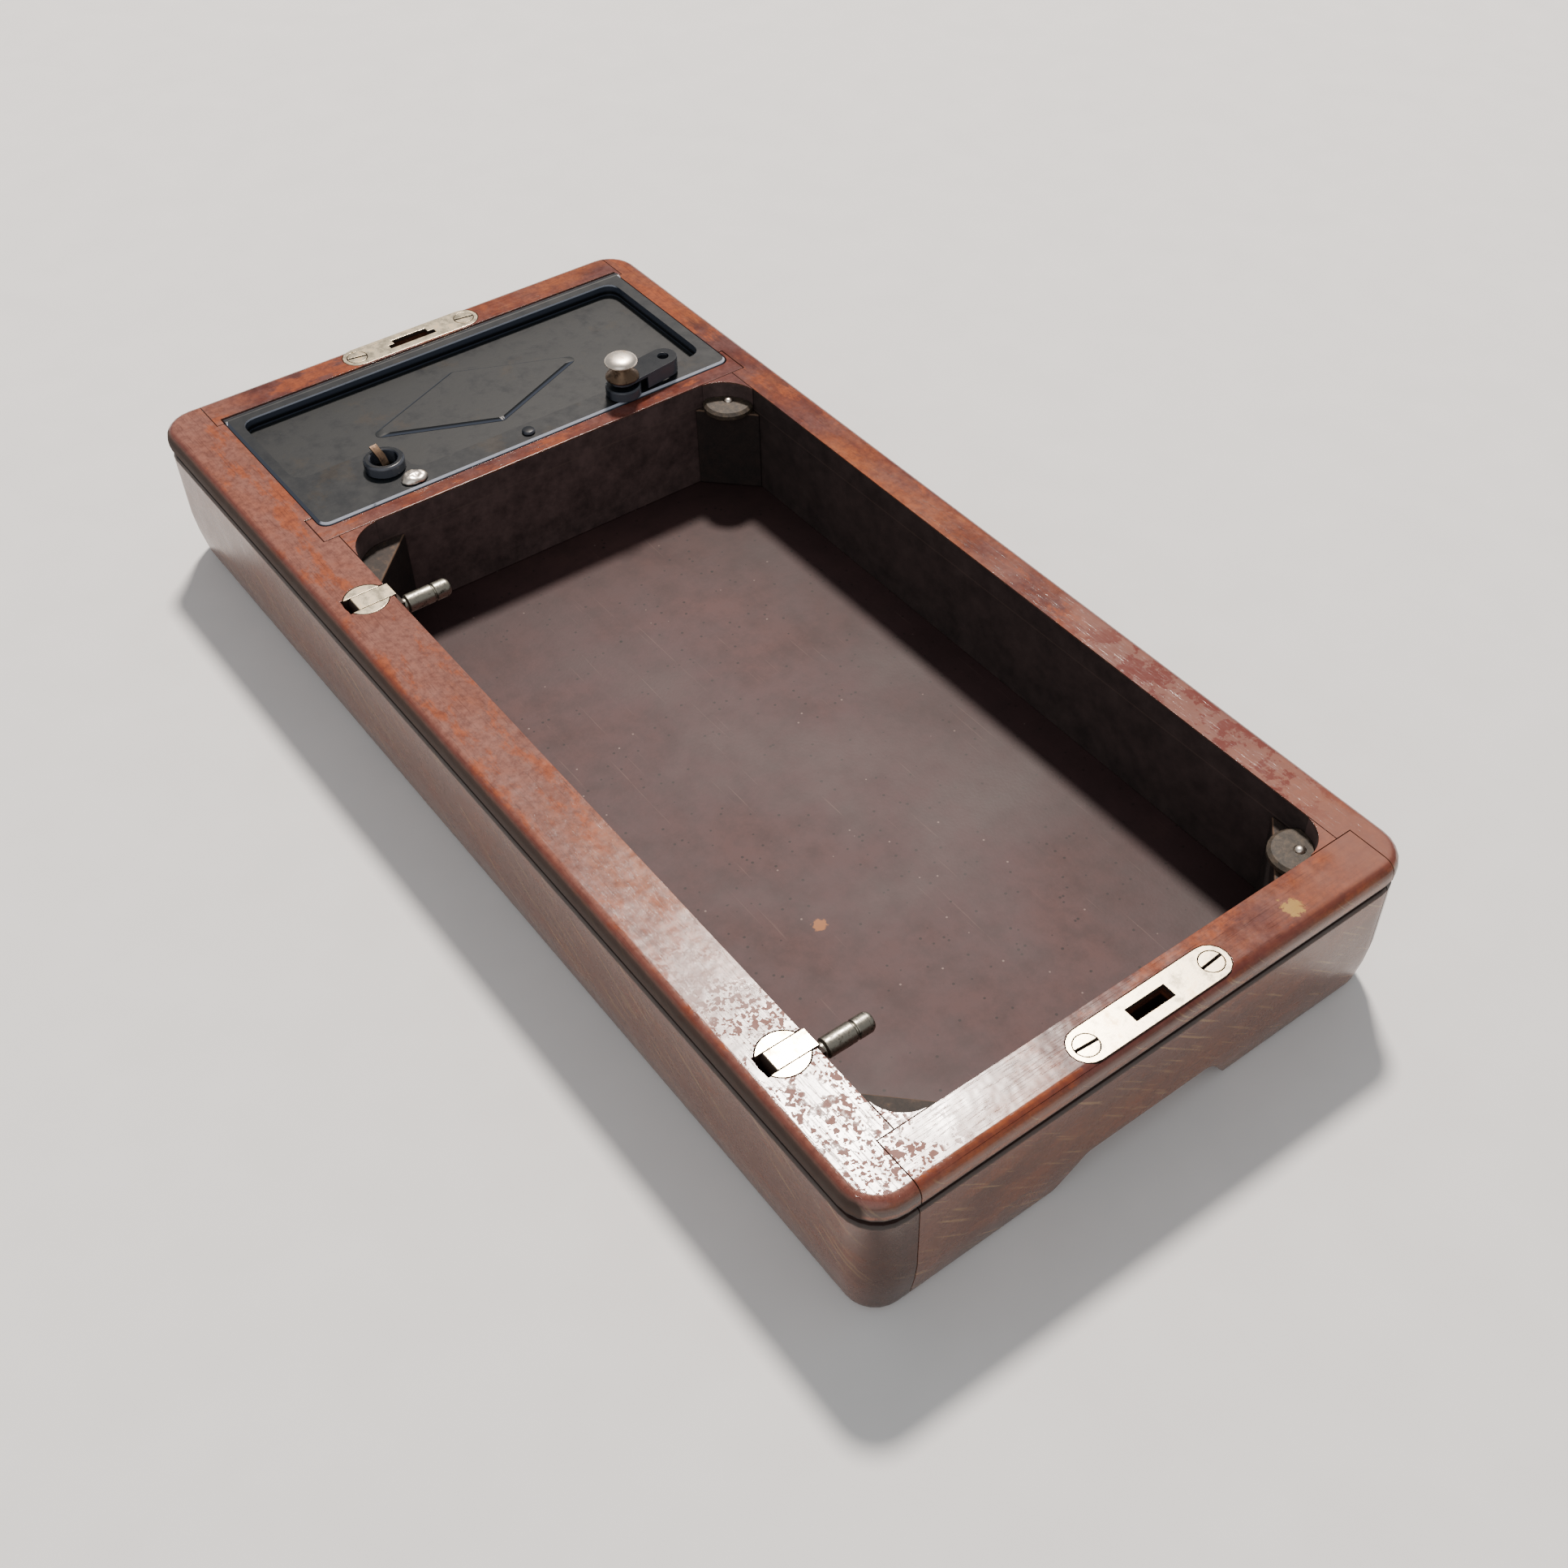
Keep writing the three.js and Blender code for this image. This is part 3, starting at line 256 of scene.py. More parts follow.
def duller_sides(m, colour, at, normal, up, end_darkness):
    """Browner, duller sides, the brown reaching up over the rounded edges as painted shade, with pale
    slanting scratches 30 mm long and under 1 mm wide. Gives the colour and how far each spot is to the side."""
    side_and_edge_shade = add(m, "MapRange", {"Value": up, "From Min": 0.85, "From Max": 0.25, "To Max": 0.72})
    colour = add(m, "Mix", {0: side_and_edge_shade, 6: colour, 7: "5f4539"}, 2, data_type="RGBA")
    scuff_at = add(m, "Mapping", {"Vector": at, "Rotation": (0.65, -0.5, 0), "Scale": (0.03, 0.03, 0.0009)},
                   vector_type="TEXTURE")
    scuffs = add(m, "TexNoise", {"Vector": scuff_at, "Scale": 1.0, "Detail": 3.0, "Roughness": 0.55})
    scuffs = add(m, "MapRange", {"Value": scuffs, "From Min": 0.61, "From Max": 0.65, "To Max": 0.75})
    scuffs = add(m, "Math", {0: scuffs, 1: side_and_edge_shade}, operation="MULTIPLY")
    colour = add(m, "Mix", {0: scuffs, 6: colour, 7: "9c7f5c"}, 2, data_type="RGBA")
    # End grain drinks the stain: nearly black on the ends of the long rails.
    end_on = add(m, "SeparateXYZ", {"Vector": normal})
    end_on = add(m, "Math", {0: end_on}, operation="ABSOLUTE")
    end_on = add(m, "MapRange", {"Value": end_on, "From Min": 0.25, "From Max": 0.8, "To Max": end_darkness})
    end_on = add(m, "Math", {0: end_on, 1: side_and_edge_shade}, operation="MULTIPLY")
    return add(m, "Mix", {0: end_on, 6: colour, 7: "1f1b19"}, 2, data_type="RGBA"), side_and_edge_shade


def worn_lip(m, colour, rub, y, z, up):
    """The moulded lip round the frame. Gives the colour, where the lip along the back is darkened, and where
    painted shade lies under the lip.
    """
    # The rounded upper edge is darkened deep red-brown as painted shade, and the lower edge is rubbed to tan
    # wood.
    crest_low = add(m, "MapRange", {"Value": up, "From Min": 0.6, "From Max": 0.8})
    crest_high = add(m, "MapRange", {"Value": up, "From Min": 0.985, "From Max": 0.9})
    crest_shade = add(m, "Math", {0: crest_low, 1: crest_high}, operation="MULTIPLY")
    crest_shade = add(m, "Math", {0: crest_shade, 1: 0.6}, operation="MULTIPLY")
    colour = add(m, "Mix", {0: crest_shade, 6: colour, 7: "5c2c26"}, 2, data_type="RGBA")
    lip_low = add(m, "MapRange", {"Value": z, "From Min": LIP_FOOT, "From Max": LIP_FOOT + 0.4 * MM})
    lip = fade_in(m, lip_low, (z, LIP_FOOT + 1.8 * MM, LIP_FOOT + 1.1 * MM))
    patchy = add(m, "MapRange", {"Value": rub, "From Min": 0.42, "From Max": 0.62, "To Max": 0.85})
    rubbed = add(m, "Math", {0: lip, 1: patchy}, operation="MULTIPLY")
    colour = add(m, "Mix", {0: rubbed, 6: colour, 7: "93593f"}, 2, data_type="RGBA")
    # The lip along the back is darkened brown-black.
    back_lip_dark = add(m, "MapRange", {"Value": y, "From Min": OUT_Y - 3.4 * MM, "From Max": OUT_Y - 2.2 * MM})
    back_lip_dark = fade_in(m, back_lip_dark, (z, TOP - 0.5 * MM, TOP - 1.6 * MM), most=0.9)
    lip_zone = add(m, "Math", {0: z, 1: LIP_FOOT - 0.5 * MM}, operation="GREATER_THAN")
    back_lip_dark = add(m, "Math", {0: back_lip_dark, 1: lip_zone}, operation="MULTIPLY")
    colour = add(m, "Mix", {0: back_lip_dark, 6: colour, 7: "2c2019"}, 2, data_type="RGBA")
    # Painted shade: the channel under the lip is darkened near-black.
    groove_shade = add(m, "MapRange", {"Value": z, "From Min": GROOVE_FOOT, "From Max": GROOVE_FOOT + 0.7 * MM})
    groove_shade = fade_in(m, groove_shade, (z, LIP_FOOT + 0.1 * MM, LIP_FOOT - 0.5 * MM), most=0.9)
    return add(m, "Mix", {0: groove_shade, 6: colour, 7: "150d0a"}, 2, data_type="RGBA"), back_lip_dark, groove_shade


def painted_recess(m, colour, rub, x, y, z, dark, light):
    """Near-black paint on the rails' faces inside the recess, darkened further as painted shade, most on the
    long rails. Gives the colour and where the paint is.
    """
    inside = add(m, "Math", {0: z, 1: PAINT_LINE}, operation="LESS_THAN")
    for value, low, high in ((x, RECESS_LEFT, RECESS_RIGHT), (y, RECESS_FRONT, RECESS_BACK)):
        for edge, test in ((low - 0.45 * MM, "GREATER_THAN"), (high + 0.45 * MM, "LESS_THAN")):
            part = add(m, "Math", {0: value, 1: edge}, operation=test)
            inside = add(m, "Math", {0: inside, 1: part}, operation="MULTIPLY")
    paint = add(m, "ValToRGB", {"Fac": rub}, stops=[(0.35, dark), (0.66, light)])
    colour = add(m, "Mix", {0: inside, 6: colour, 7: paint}, 2, data_type="RGBA")
    # A pale hairline runs round the recess walls.
    line = add(m, "MapRange", {"Value": z, "From Min": PALE_HAIRLINE, "From Max": PALE_HAIRLINE + 0.3 * MM})
    line = fade_in(m, line, (z, PALE_HAIRLINE + 0.7 * MM, PALE_HAIRLINE + 0.4 * MM), most=0.5)
    line = add(m, "Math", {0: line, 1: inside}, operation="MULTIPLY")
    return add(m, "Mix", {0: line, 6: colour, 7: "5f4f48"}, 2, data_type="RGBA"), inside


def old_knock(m, colour, at):
    """One knock on the left rail, down to bare tan wood, 7 mm across with a ragged edge."""
    torn = add(m, "TexNoise", {"Vector": at, "Scale": 260.0, "Detail": 6.0, "Roughness": 0.75}, "Color")
    torn = add(m, "VectorMath", {0: torn, 1: (0.011, 0.011, 0)}, operation="MULTIPLY")
    torn = add(m, "VectorMath", {0: at, 1: torn}, operation="ADD")
    knock = add(m, "VectorMath", {0: torn, 1: KNOCK}, "Value", operation="DISTANCE")
    knock = add(m, "MapRange", {"Value": knock, "From Min": 3.4 * MM, "From Max": 2.6 * MM, "To Max": 0.9})
    return add(m, "Mix", {0: knock, 6: colour, 7: "b58f4d"}, 2, data_type="RGBA")


def worn_mahogany(name, grain_turn, end_darkness, inside_dark, inside_light):
    """French-polished mahogany, a century old: red-brown, open pores along the grain, orange where the polish
    is rubbed thin, crazed off in angular flakes where hands and heat met it, with painted shade under the
    moulded lip."""
    m, shader, at, normal = new_material(name)
    grain = add(m, "Mapping", {"Vector": at, "Rotation": (0, 0, math.radians(grain_turn))})
    x = add(m, "SeparateXYZ", {"Vector": at})
    y, z = x.node.outputs["Y"], x.node.outputs["Z"]
    up = add(m, "SeparateXYZ", {"Vector": normal}, "Z")
    on_top = add(m, "MapRange", {"Value": up, "From Min": 0.8, "From Max": 0.97})
    rub = add(m, "TexNoise", {"Vector": at, "Scale": 130.0, "Detail": 7.0, "Roughness": 0.72})

    colour, pores = polished_mahogany(m, at, grain, y)
    colour, flakes = flaked_polish(m, colour, at, x, y, on_top)
    colour, side_and_edge_shade = duller_sides(m, colour, at, normal, up, end_darkness)
    colour, back_lip_dark, groove_shade = worn_lip(m, colour, rub, y, z, up)
    colour, inside = painted_recess(m, colour, rub, x, y, z, inside_dark, inside_light)
    colour = old_knock(m, colour, at)

    polish = add(m, "MapRange", {"Value": rub, "From Min": 0.3, "From Max": 0.7, "To Min": 0.13,
                                 "To Max": 0.23})
    dull = add(m, "Math", {0: flakes, 1: inside}, operation="MAXIMUM")
    dull = add(m, "Math", {0: dull, 1: groove_shade}, operation="MAXIMUM")
    dull = add(m, "Math", {0: dull, 1: back_lip_dark}, operation="MAXIMUM")
    dull = add(m, "Math", {0: dull, 1: 0.35, 2: polish}, operation="MULTIPLY_ADD")
    rough = add(m, "Math", {0: side_and_edge_shade, 1: 0.12, 2: dull}, operation="MULTIPLY_ADD")
    rough = add(m, "Math", {0: back_lip_dark, 1: 0.35, 2: rough}, operation="MULTIPLY_ADD", use_clamp=True)
    swell = add(m, "TexNoise", {"Vector": at, "Scale": 110.0, "Detail": 2.0})
    relief = add(m, "Math", {0: flakes, 1: -0.3, 2: swell}, operation="MULTIPLY_ADD")
    relief = add(m, "Math", {0: pores, 1: -0.2, 2: relief}, operation="MULTIPLY_ADD")
    bump = add(m, "Bump", {"Height": relief, "Strength": 0.4, "Distance": 0.3 * MM})
    dress_shader(m, shader, Base_Color=colour, Roughness=rough, Normal=bump, IOR=1.52)
    return m


def flat_oil_paint(name):
    """Thin board in flat brown-black oil paint: no gloss, cloudy fading, faint scratches, and pale grit."""
    m, shader, at, _ = new_material(name)
    clouds = add(m, "TexNoise", {"Vector": at, "Scale": 15.0, "Detail": 7.0, "Roughness": 0.62})
    colour = add(m, "ValToRGB", {"Fac": clouds}, stops=[(0.3, "412a2b"), (0.5, "4d3335"), (0.7, "5a3d3b")])
    smudge = add(m, "TexNoise", {"Vector": at, "Scale": 75.0, "Detail": 8.0, "Roughness": 0.72})
    smudge = add(m, "MapRange", {"Value": smudge, "From Min": 0.42, "From Max": 0.62, "To Max": 0.55})
    colour = add(m, "Mix", {0: smudge, 6: colour, 7: "382526"}, 2, data_type="RGBA")
    scratch_at = add(m, "Mapping", {"Vector": at, "Rotation": (0, 0, 0.9), "Scale": (22, 900, 22)})
    scratches = add(m, "TexNoise", {"Vector": scratch_at, "Scale": 1.0, "Detail": 4.0})
    scratches = add(m, "MapRange", {"Value": scratches, "From Min": 0.68, "From Max": 0.74, "To Max": 0.35})
    colour = add(m, "Mix", {0: scratches, 6: colour, 7: "7d645c"}, 2, data_type="RGBA")
    # Grit, dust and dark specks, 0.5 to 1 mm, each on a few cells of its own net.
    for cells, size, share, fleck in ((100.0, 0.05, 0.88, "b09682"), (330.0, 0.14, 0.95, "86706a"),
                                      (500.0, 0.3, 0.9, "2c1d1d"), (80.0, 0.06, 0.93, "140d0b")):
        near = add(m, "TexVoronoi", {"Vector": at, "Scale": cells})
        tone = add(m, "SeparateColor", {"Color": near.node.outputs["Color"]})
        chosen = add(m, "Math", {0: tone, 1: share}, operation="GREATER_THAN")
        speck = add(m, "MapRange", {"Value": near, "From Min": size, "From Max": size * 0.7})
        shown = add(m, "Math", {0: speck, 1: chosen}, operation="MULTIPLY")
        colour = add(m, "Mix", {0: shown, 6: colour, 7: fleck}, 2, data_type="RGBA")
    # Painted shadow: the board is darkened along the front and far walls.
    place = add(m, "SeparateXYZ", {"Vector": at})
    for value, start, stop in ((place.node.outputs["Y"], 0.35 * RECESS_FRONT, 0.95 * RECESS_FRONT),
                               (place, 0.4 * RECESS_RIGHT, 0.98 * RECESS_RIGHT)):
        edge = add(m, "MapRange", {"Value": value, "From Min": start, "From Max": stop, "To Max": 0.6})
        colour = add(m, "Mix", {0: edge, 6: colour, 7: "251a19"}, 2, data_type="RGBA")
    # One chip down to bare orange wood.
    ragged = add(m, "TexNoise", {"Vector": at, "Scale": 700.0, "Detail": 4.0}, "Color")
    ragged = add(m, "VectorMath", {0: ragged, 1: (0.003, 0.003, 0)}, operation="MULTIPLY")
    ragged = add(m, "VectorMath", {0: at, 1: ragged}, operation="ADD")
    chip = add(m, "VectorMath", {0: ragged, 1: CHIP}, "Value", operation="DISTANCE")
    chip = add(m, "MapRange", {"Value": chip, "From Min": 2.6 * MM, "From Max": 2.1 * MM})
    colour = add(m, "Mix", {0: chip, 6: colour, 7: "a4683c"}, 2, data_type="RGBA")
    fine = add(m, "TexNoise", {"Vector": at, "Scale": 900.0, "Detail": 4.0})
    rough = add(m, "MapRange", {"Value": clouds, "From Min": 0.3, "From Max": 0.7, "To Min": 0.52,
                                "To Max": 0.66})
    bump = add(m, "Bump", {"Height": fine, "Strength": 0.3, "Distance": 0.12 * MM})
    dress_shader(m, shader, Base_Color=colour, Roughness=rough, Normal=bump, Specular_IOR_Level=0.35)
    return m


def bare_softwood(name):
    """Softwood blocks, unpolished: near-black on their sides, browner on their tops, rubbed tan along the
    edges and where the bed stood.
    """
    m, shader, at, normal = new_material(name)
    dirt = add(m, "TexNoise", {"Vector": at, "Scale": 210.0, "Detail": 7.0, "Roughness": 0.72})
    up = add(m, "SeparateXYZ", {"Vector": normal}, "Z")
    side = add(m, "ValToRGB", {"Fac": dirt}, stops=[(0.35, "17110f"), (0.7, "2c1f1b")])
    ledge = add(m, "ValToRGB", {"Fac": dirt}, stops=[(0.36, "1d1613"), (0.54, "352922"), (0.72, "644d38")])
    top = add(m, "MapRange", {"Value": up, "From Min": 0.15, "From Max": 0.4})
    colour = add(m, "Mix", {0: top, 6: side, 7: ledge}, 2, data_type="RGBA")
    rim_low = add(m, "MapRange", {"Value": up, "From Min": 0.1, "From Max": 0.35})
    rim_high = add(m, "MapRange", {"Value": up, "From Min": 0.98, "From Max": 0.85, "To Max": 0.8})
    rim = add(m, "Math", {0: rim_low, 1: rim_high}, operation="MULTIPLY")
    colour = add(m, "Mix", {0: rim, 6: colour, 7: "6b5240"}, 2, data_type="RGBA")
    bump = add(m, "Bump", {"Height": dirt, "Strength": 0.5, "Distance": 0.4 * MM})
    dress_shader(m, shader, Base_Color=colour, Roughness=0.7, Normal=bump)
    return m


def plated_metal(name, clean, tarnished, smooth, hazed, spots, shade_and_dirt_depth=None):
    """Nickel plate or turned steel: bright metal hazed by fine scratches, brown where it has tarnished. With
    a depth in millimetres below the frame's top, all metal lower than that is painted dark brown: dirt in the
    slots, and painted shade round the screw heads and along the rims."""
    m, shader, at, _ = new_material(name)
    tarnish = add(m, "TexNoise", {"Vector": at, "Scale": spots, "Detail": 8.0, "Roughness": 0.7})
    colour = add(m, "ValToRGB", {"Fac": tarnish}, stops=[(0.34, tarnished), (0.48, clean), (0.8, clean)])
    rough = add(m, "MapRange", {"Value": tarnish, "From Min": 0.35, "From Max": 0.65, "To Min": hazed,
                                "To Max": smooth})
    metal = 1.0
    if shade_and_dirt_depth:
        z = add(m, "SeparateXYZ", {"Vector": at}, "Z")
        # Metal below the depth is painted dark brown: dirt in the slots, and painted shade round the screw
        # heads and along the rims.
        sunk = add(m, "MapRange", {"Value": z, "From Min": TOP - shade_and_dirt_depth * MM,
                                   "From Max": TOP - (shade_and_dirt_depth + 0.1) * MM})
        colour = add(m, "Mix", {0: sunk, 6: colour, 7: "2a1c14"}, 2, data_type="RGBA")
        rough = add(m, "Math", {0: sunk, 1: 0.5, 2: rough}, operation="MULTIPLY_ADD", use_clamp=True)
        metal = add(m, "Math", {0: 1.0, 1: sunk}, operation="SUBTRACT")
    drag = add(m, "Mapping", {"Vector": at, "Scale": (5200, 700, 5200), "Rotation": (0, 0, 0.35)})
    scratches = add(m, "TexNoise", {"Vector": drag, "Scale": 1.0, "Detail": 4.0})
    bump = add(m, "Bump", {"Height": scratches, "Strength": 0.15, "Distance": 0.05 * MM})
    dress_shader(m, shader, Base_Color=colour, Metallic=metal, Roughness=rough, Normal=bump)
    return m


def black_japan(name, dusty, rolled_edge_highlight, slope_dust_and_sheen):
    """Stoved black asphalt japan on pressed steel: blue-black gloss, greyed by dust on its flats, with a
    painted highlight on its rolled edges, and a few patches of brown rust coming through. The slopes take a
    lighter blue-grey, partly dust and partly painted reflection."""
    m, shader, at, normal = new_material(name)
    z = add(m, "SeparateXYZ", {"Vector": at}, "Z")
    up = add(m, "SeparateXYZ", {"Vector": normal}, "Z")
    low = add(m, "MapRange", {"Value": z, "From Min": TOP - 0.6 * MM, "From Max": TOP - 2.5 * MM,
                              "To Min": 0.75, "To Max": 1.0})
    film = add(m, "TexNoise", {"Vector": at, "Scale": 120.0, "Detail": 9.0, "Roughness": 0.7})
    dust = add(m, "MapRange", {"Value": film, "From Min": 0.3, "From Max": 0.7, "To Min": 0.5 * dusty,
                               "To Max": dusty})
    dust = add(m, "Math", {0: dust, 1: low}, operation="MULTIPLY")
    flat = add(m, "MapRange", {"Value": up, "From Min": 0.9, "From Max": 0.985})
    dust = add(m, "Math", {0: dust, 1: flat}, operation="MULTIPLY")
    # Painted reflection and dust: the slopes take a lighter blue-grey than the flats.
    colour = add(m, "Mix", {0: flat, 6: slope_dust_and_sheen, 7: "151a22"}, 2, data_type="RGBA")
    colour = add(m, "Mix", {0: dust, 6: colour, 7: "1e2120"}, 2, data_type="RGBA")
    # Painted shade: a black line along the bottom of the pressed step.
    step_shade_line = add(m, "Math", {0: 1.0, 1: flat}, operation="SUBTRACT")
    step_shade_line = fade_in(m, step_shade_line, (z, FIELD_FLOOR + 0.4 * MM, FIELD_FLOOR + 0.7 * MM),
                   (z, FIELD_FLOOR + 2.6 * MM, FIELD_FLOOR + 1.6 * MM))
    colour = add(m, "Mix", {0: step_shade_line, 6: colour, 7: "0e1115"}, 2, data_type="RGBA")
    cloud = add(m, "TexNoise", {"Vector": at, "Scale": 38.0, "Detail": 9.0, "Roughness": 0.76})
    rust = add(m, "MapRange", {"Value": cloud, "From Min": 0.56, "From Max": 0.64, "To Max": 0.7})
    rust = add(m, "Math", {0: rust, 1: flat}, operation="MULTIPLY")
    colour = add(m, "Mix", {0: rust, 6: colour, 7: "2b241c"}, 2, data_type="RGBA")
    # Painted highlight: bright blue-white along the rolled edges that stand above the frame and face the
    # recess, broken into patches.
    high = add(m, "MapRange", {"Value": z, "From Min": TOP + 0.05 * MM, "From Max": TOP + 0.2 * MM})
    rolled = add(m, "MapRange", {"Value": up, "From Min": 0.98, "From Max": 0.85})
    bare = add(m, "Math", {0: high, 1: rolled}, operation="MULTIPLY")
    inward = add(m, "MapRange", {"Value": add(m, "SeparateXYZ", {"Vector": normal}), "From Min": -0.12,
                                 "From Max": -0.35})
    bare = add(m, "Math", {0: bare, 1: inward}, operation="MULTIPLY")
    worn = add(m, "MapRange", {"Value": film, "From Min": 0.28, "From Max": 0.4, "To Max": rolled_edge_highlight})
    bare = add(m, "Math", {0: bare, 1: worn}, operation="MULTIPLY")
    colour = add(m, "Mix", {0: bare, 6: colour, 7: "ccd3e2"}, 2, data_type="RGBA")
    rough = add(m, "MapRange", {"Value": dust, "From Max": 0.6, "To Min": 0.2, "To Max": 0.42})
    bump = add(m, "Bump", {"Height": film, "Strength": 0.2, "Distance": 0.2 * MM})
    dress_shader(m, shader, Base_Color=colour, Roughness=rough, Normal=bump, IOR=1.6, Specular_IOR_Level=0.3)
    return m


def pressed_felt(name):
    """Wool felt, flattened and oily: matt grey-tan with matted fibre tufts about 1 mm across."""
    m, shader, at, _ = new_material(name)
    tufts = add(m, "TexNoise", {"Vector": at, "Scale": 520.0, "Detail": 7.0, "Roughness": 0.74})
    colour = add(m, "ValToRGB", {"Fac": tufts}, stops=[(0.34, "241d17"), (0.5, "3c3329"), (0.66, "584a3b")])
    bump = add(m, "Bump", {"Height": tufts, "Strength": 0.5, "Distance": 0.25 * MM})
    dress_shader(m, shader, Base_Color=colour, Roughness=0.62, Normal=bump)
    return m


# The long-grain copy's recess paint is darker, as painted shade on the front wall; the cross-grain copy's is
# lighter, as painted light on the cross wall.
MAHOGANY_ALONG_X_SHADED_RECESS = worn_mahogany("worn_mahogany_long_grain_shaded_recess", 0, 0.85, "2b2423", "423634")
MAHOGANY_ALONG_Y_LIT_RECESS = worn_mahogany("worn_mahogany_cross_grain_lit_recess", 90, 0.0, "3b2e2d", "5f4c4a")
BOARD_PAINT = flat_oil_paint("flat_brown_oil_paint")
LEDGE_WOOD = bare_softwood("bare_dirty_softwood")
NICKEL = plated_metal("worn_nickel_plate", "f0e1c4", "d2bc98", 0.2, 0.38, 210.0, shade_and_dirt_depth=0.14)
TARNISHED = plated_metal("tarnished_nickel", "74604f", "3a2e27", 0.28, 0.45, 330.0)
KNOB_NICKEL = plated_metal("polished_nickel", "f0e6da", "b09c86", 0.28, 0.42, 200.0)
DULL_STEEL = plated_metal("turned_steel_light_rust", "a8a498", "2c2620", 0.24, 0.5, 620.0)
# The lid's copy carries a strong painted highlight on its rolled edges and a light slope colour; the
# fittings' copy carries little of either.
JAPANNED = black_japan("dusty_black_japan", 0.8, 0.8, "3a414e")
JAPANNED_FITTING = black_japan("black_japan_fitting", 0.4, 0.1, "191e28")
FELT = pressed_felt("pressed_wool_felt")


# ---- Making and finishing pieces ----

def select_only(piece):
    bpy.ops.object.select_all(action="DESELECT")
    piece.select_set(True)
    bpy.context.view_layer.objects.active = piece


def run_modifier(piece, kind, **settings):
    """Adds a modifier and applies it."""
    modifier = piece.modifiers.new(kind.lower(), kind)
    for key, value in settings.items():
        setattr(modifier, key, value)
    select_only(piece)
    bpy.ops.object.modifier_apply(modifier=modifier.name)


def dress(piece, material, *nodes):
    """Gives the piece its finish, and lets it stand for its CAD nodes and move with their body."""
    piece.data.materials.clear()
    piece.data.materials.append(material)
    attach(piece, BODY_OF[nodes[0]])
    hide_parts(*nodes)
    return piece


def eased_copy(node, material, ease, segments=2, smooth=40):
    """A CAD piece with its sharp edges eased by so many millimetres, shaded round where it curves."""
    source = NODES[node]
    piece = bpy.data.objects.new(node + "_finished", source.data.copy())
    bpy.context.collection.objects.link(piece)
    select_only(piece)
    bpy.ops.object.mode_set(mode="EDIT")
    bpy.ops.mesh.select_all(action="SELECT")
    bpy.ops.mesh.remove_doubles(threshold=0.002 * MM)
    bpy.ops.mesh.dissolve_limited(angle_limit=math.radians(0.4))
    bpy.ops.object.mode_set(mode="OBJECT")
    if ease:
        run_modifier(piece, "BEVEL", width=ease * MM, segments=segments, limit_method="ANGLE",
                     angle_limit=math.radians(smooth), use_clamp_overlap=True)
        bpy.ops.object.mode_set(mode="EDIT")
        bpy.ops.mesh.select_all(action="SELECT")
        bpy.ops.mesh.remove_doubles(threshold=0.003 * MM)
        bpy.ops.mesh.dissolve_degenerate(threshold=0.003 * MM)
        bpy.ops.object.mode_set(mode="OBJECT")
    select_only(piece)
    bpy.ops.object.shade_smooth_by_angle(angle=math.radians(smooth))
    run_modifier(piece, "WEIGHTED_NORMAL", keep_sharp=True, weight=100)
    return dress(piece, material, node)


def turned(node, material, profile, sides=56, smooth=38):
    """A lathe-turned piece standing for a CAD one: a disc extruded and scaled ring by ring up its profile,
    whose radii and heights are shares of the CAD piece's own."""
    low, high, middle = spot(node)
    radius = (high.x - low.x) / 2
    rings = [(r * radius, low.z + h * (high.z - low.z)) for r, h in profile]
    bpy.ops.object.select_all(action="DESELECT")
    bpy.ops.mesh.primitive_circle_add(vertices=sides, radius=rings[0][0], fill_type="NGON",
                                      location=(middle.x, middle.y, rings[0][1]))
    piece = bpy.context.object
    piece.name = node + "_finished"
    bpy.ops.object.transform_apply(location=True, rotation=True, scale=True)
    bpy.ops.object.mode_set(mode="EDIT")
    bpy.ops.mesh.select_all(action="SELECT")
    for (r0, z0), (r1, z1) in zip(rings, rings[1:]):
        bpy.ops.mesh.extrude_region_move(TRANSFORM_OT_translate={"value": (0, 0, z1 - z0)})
        bpy.ops.transform.resize(value=(r1 / r0, r1 / r0, 1), center_override=(middle.x, middle.y, z1))
    bpy.ops.mesh.select_all(action="SELECT")
    bpy.ops.mesh.normals_make_consistent(inside=False)
    bpy.ops.object.mode_set(mode="OBJECT")
    bpy.ops.object.shade_smooth_by_angle(angle=math.radians(smooth))
    return dress(piece, material, node)


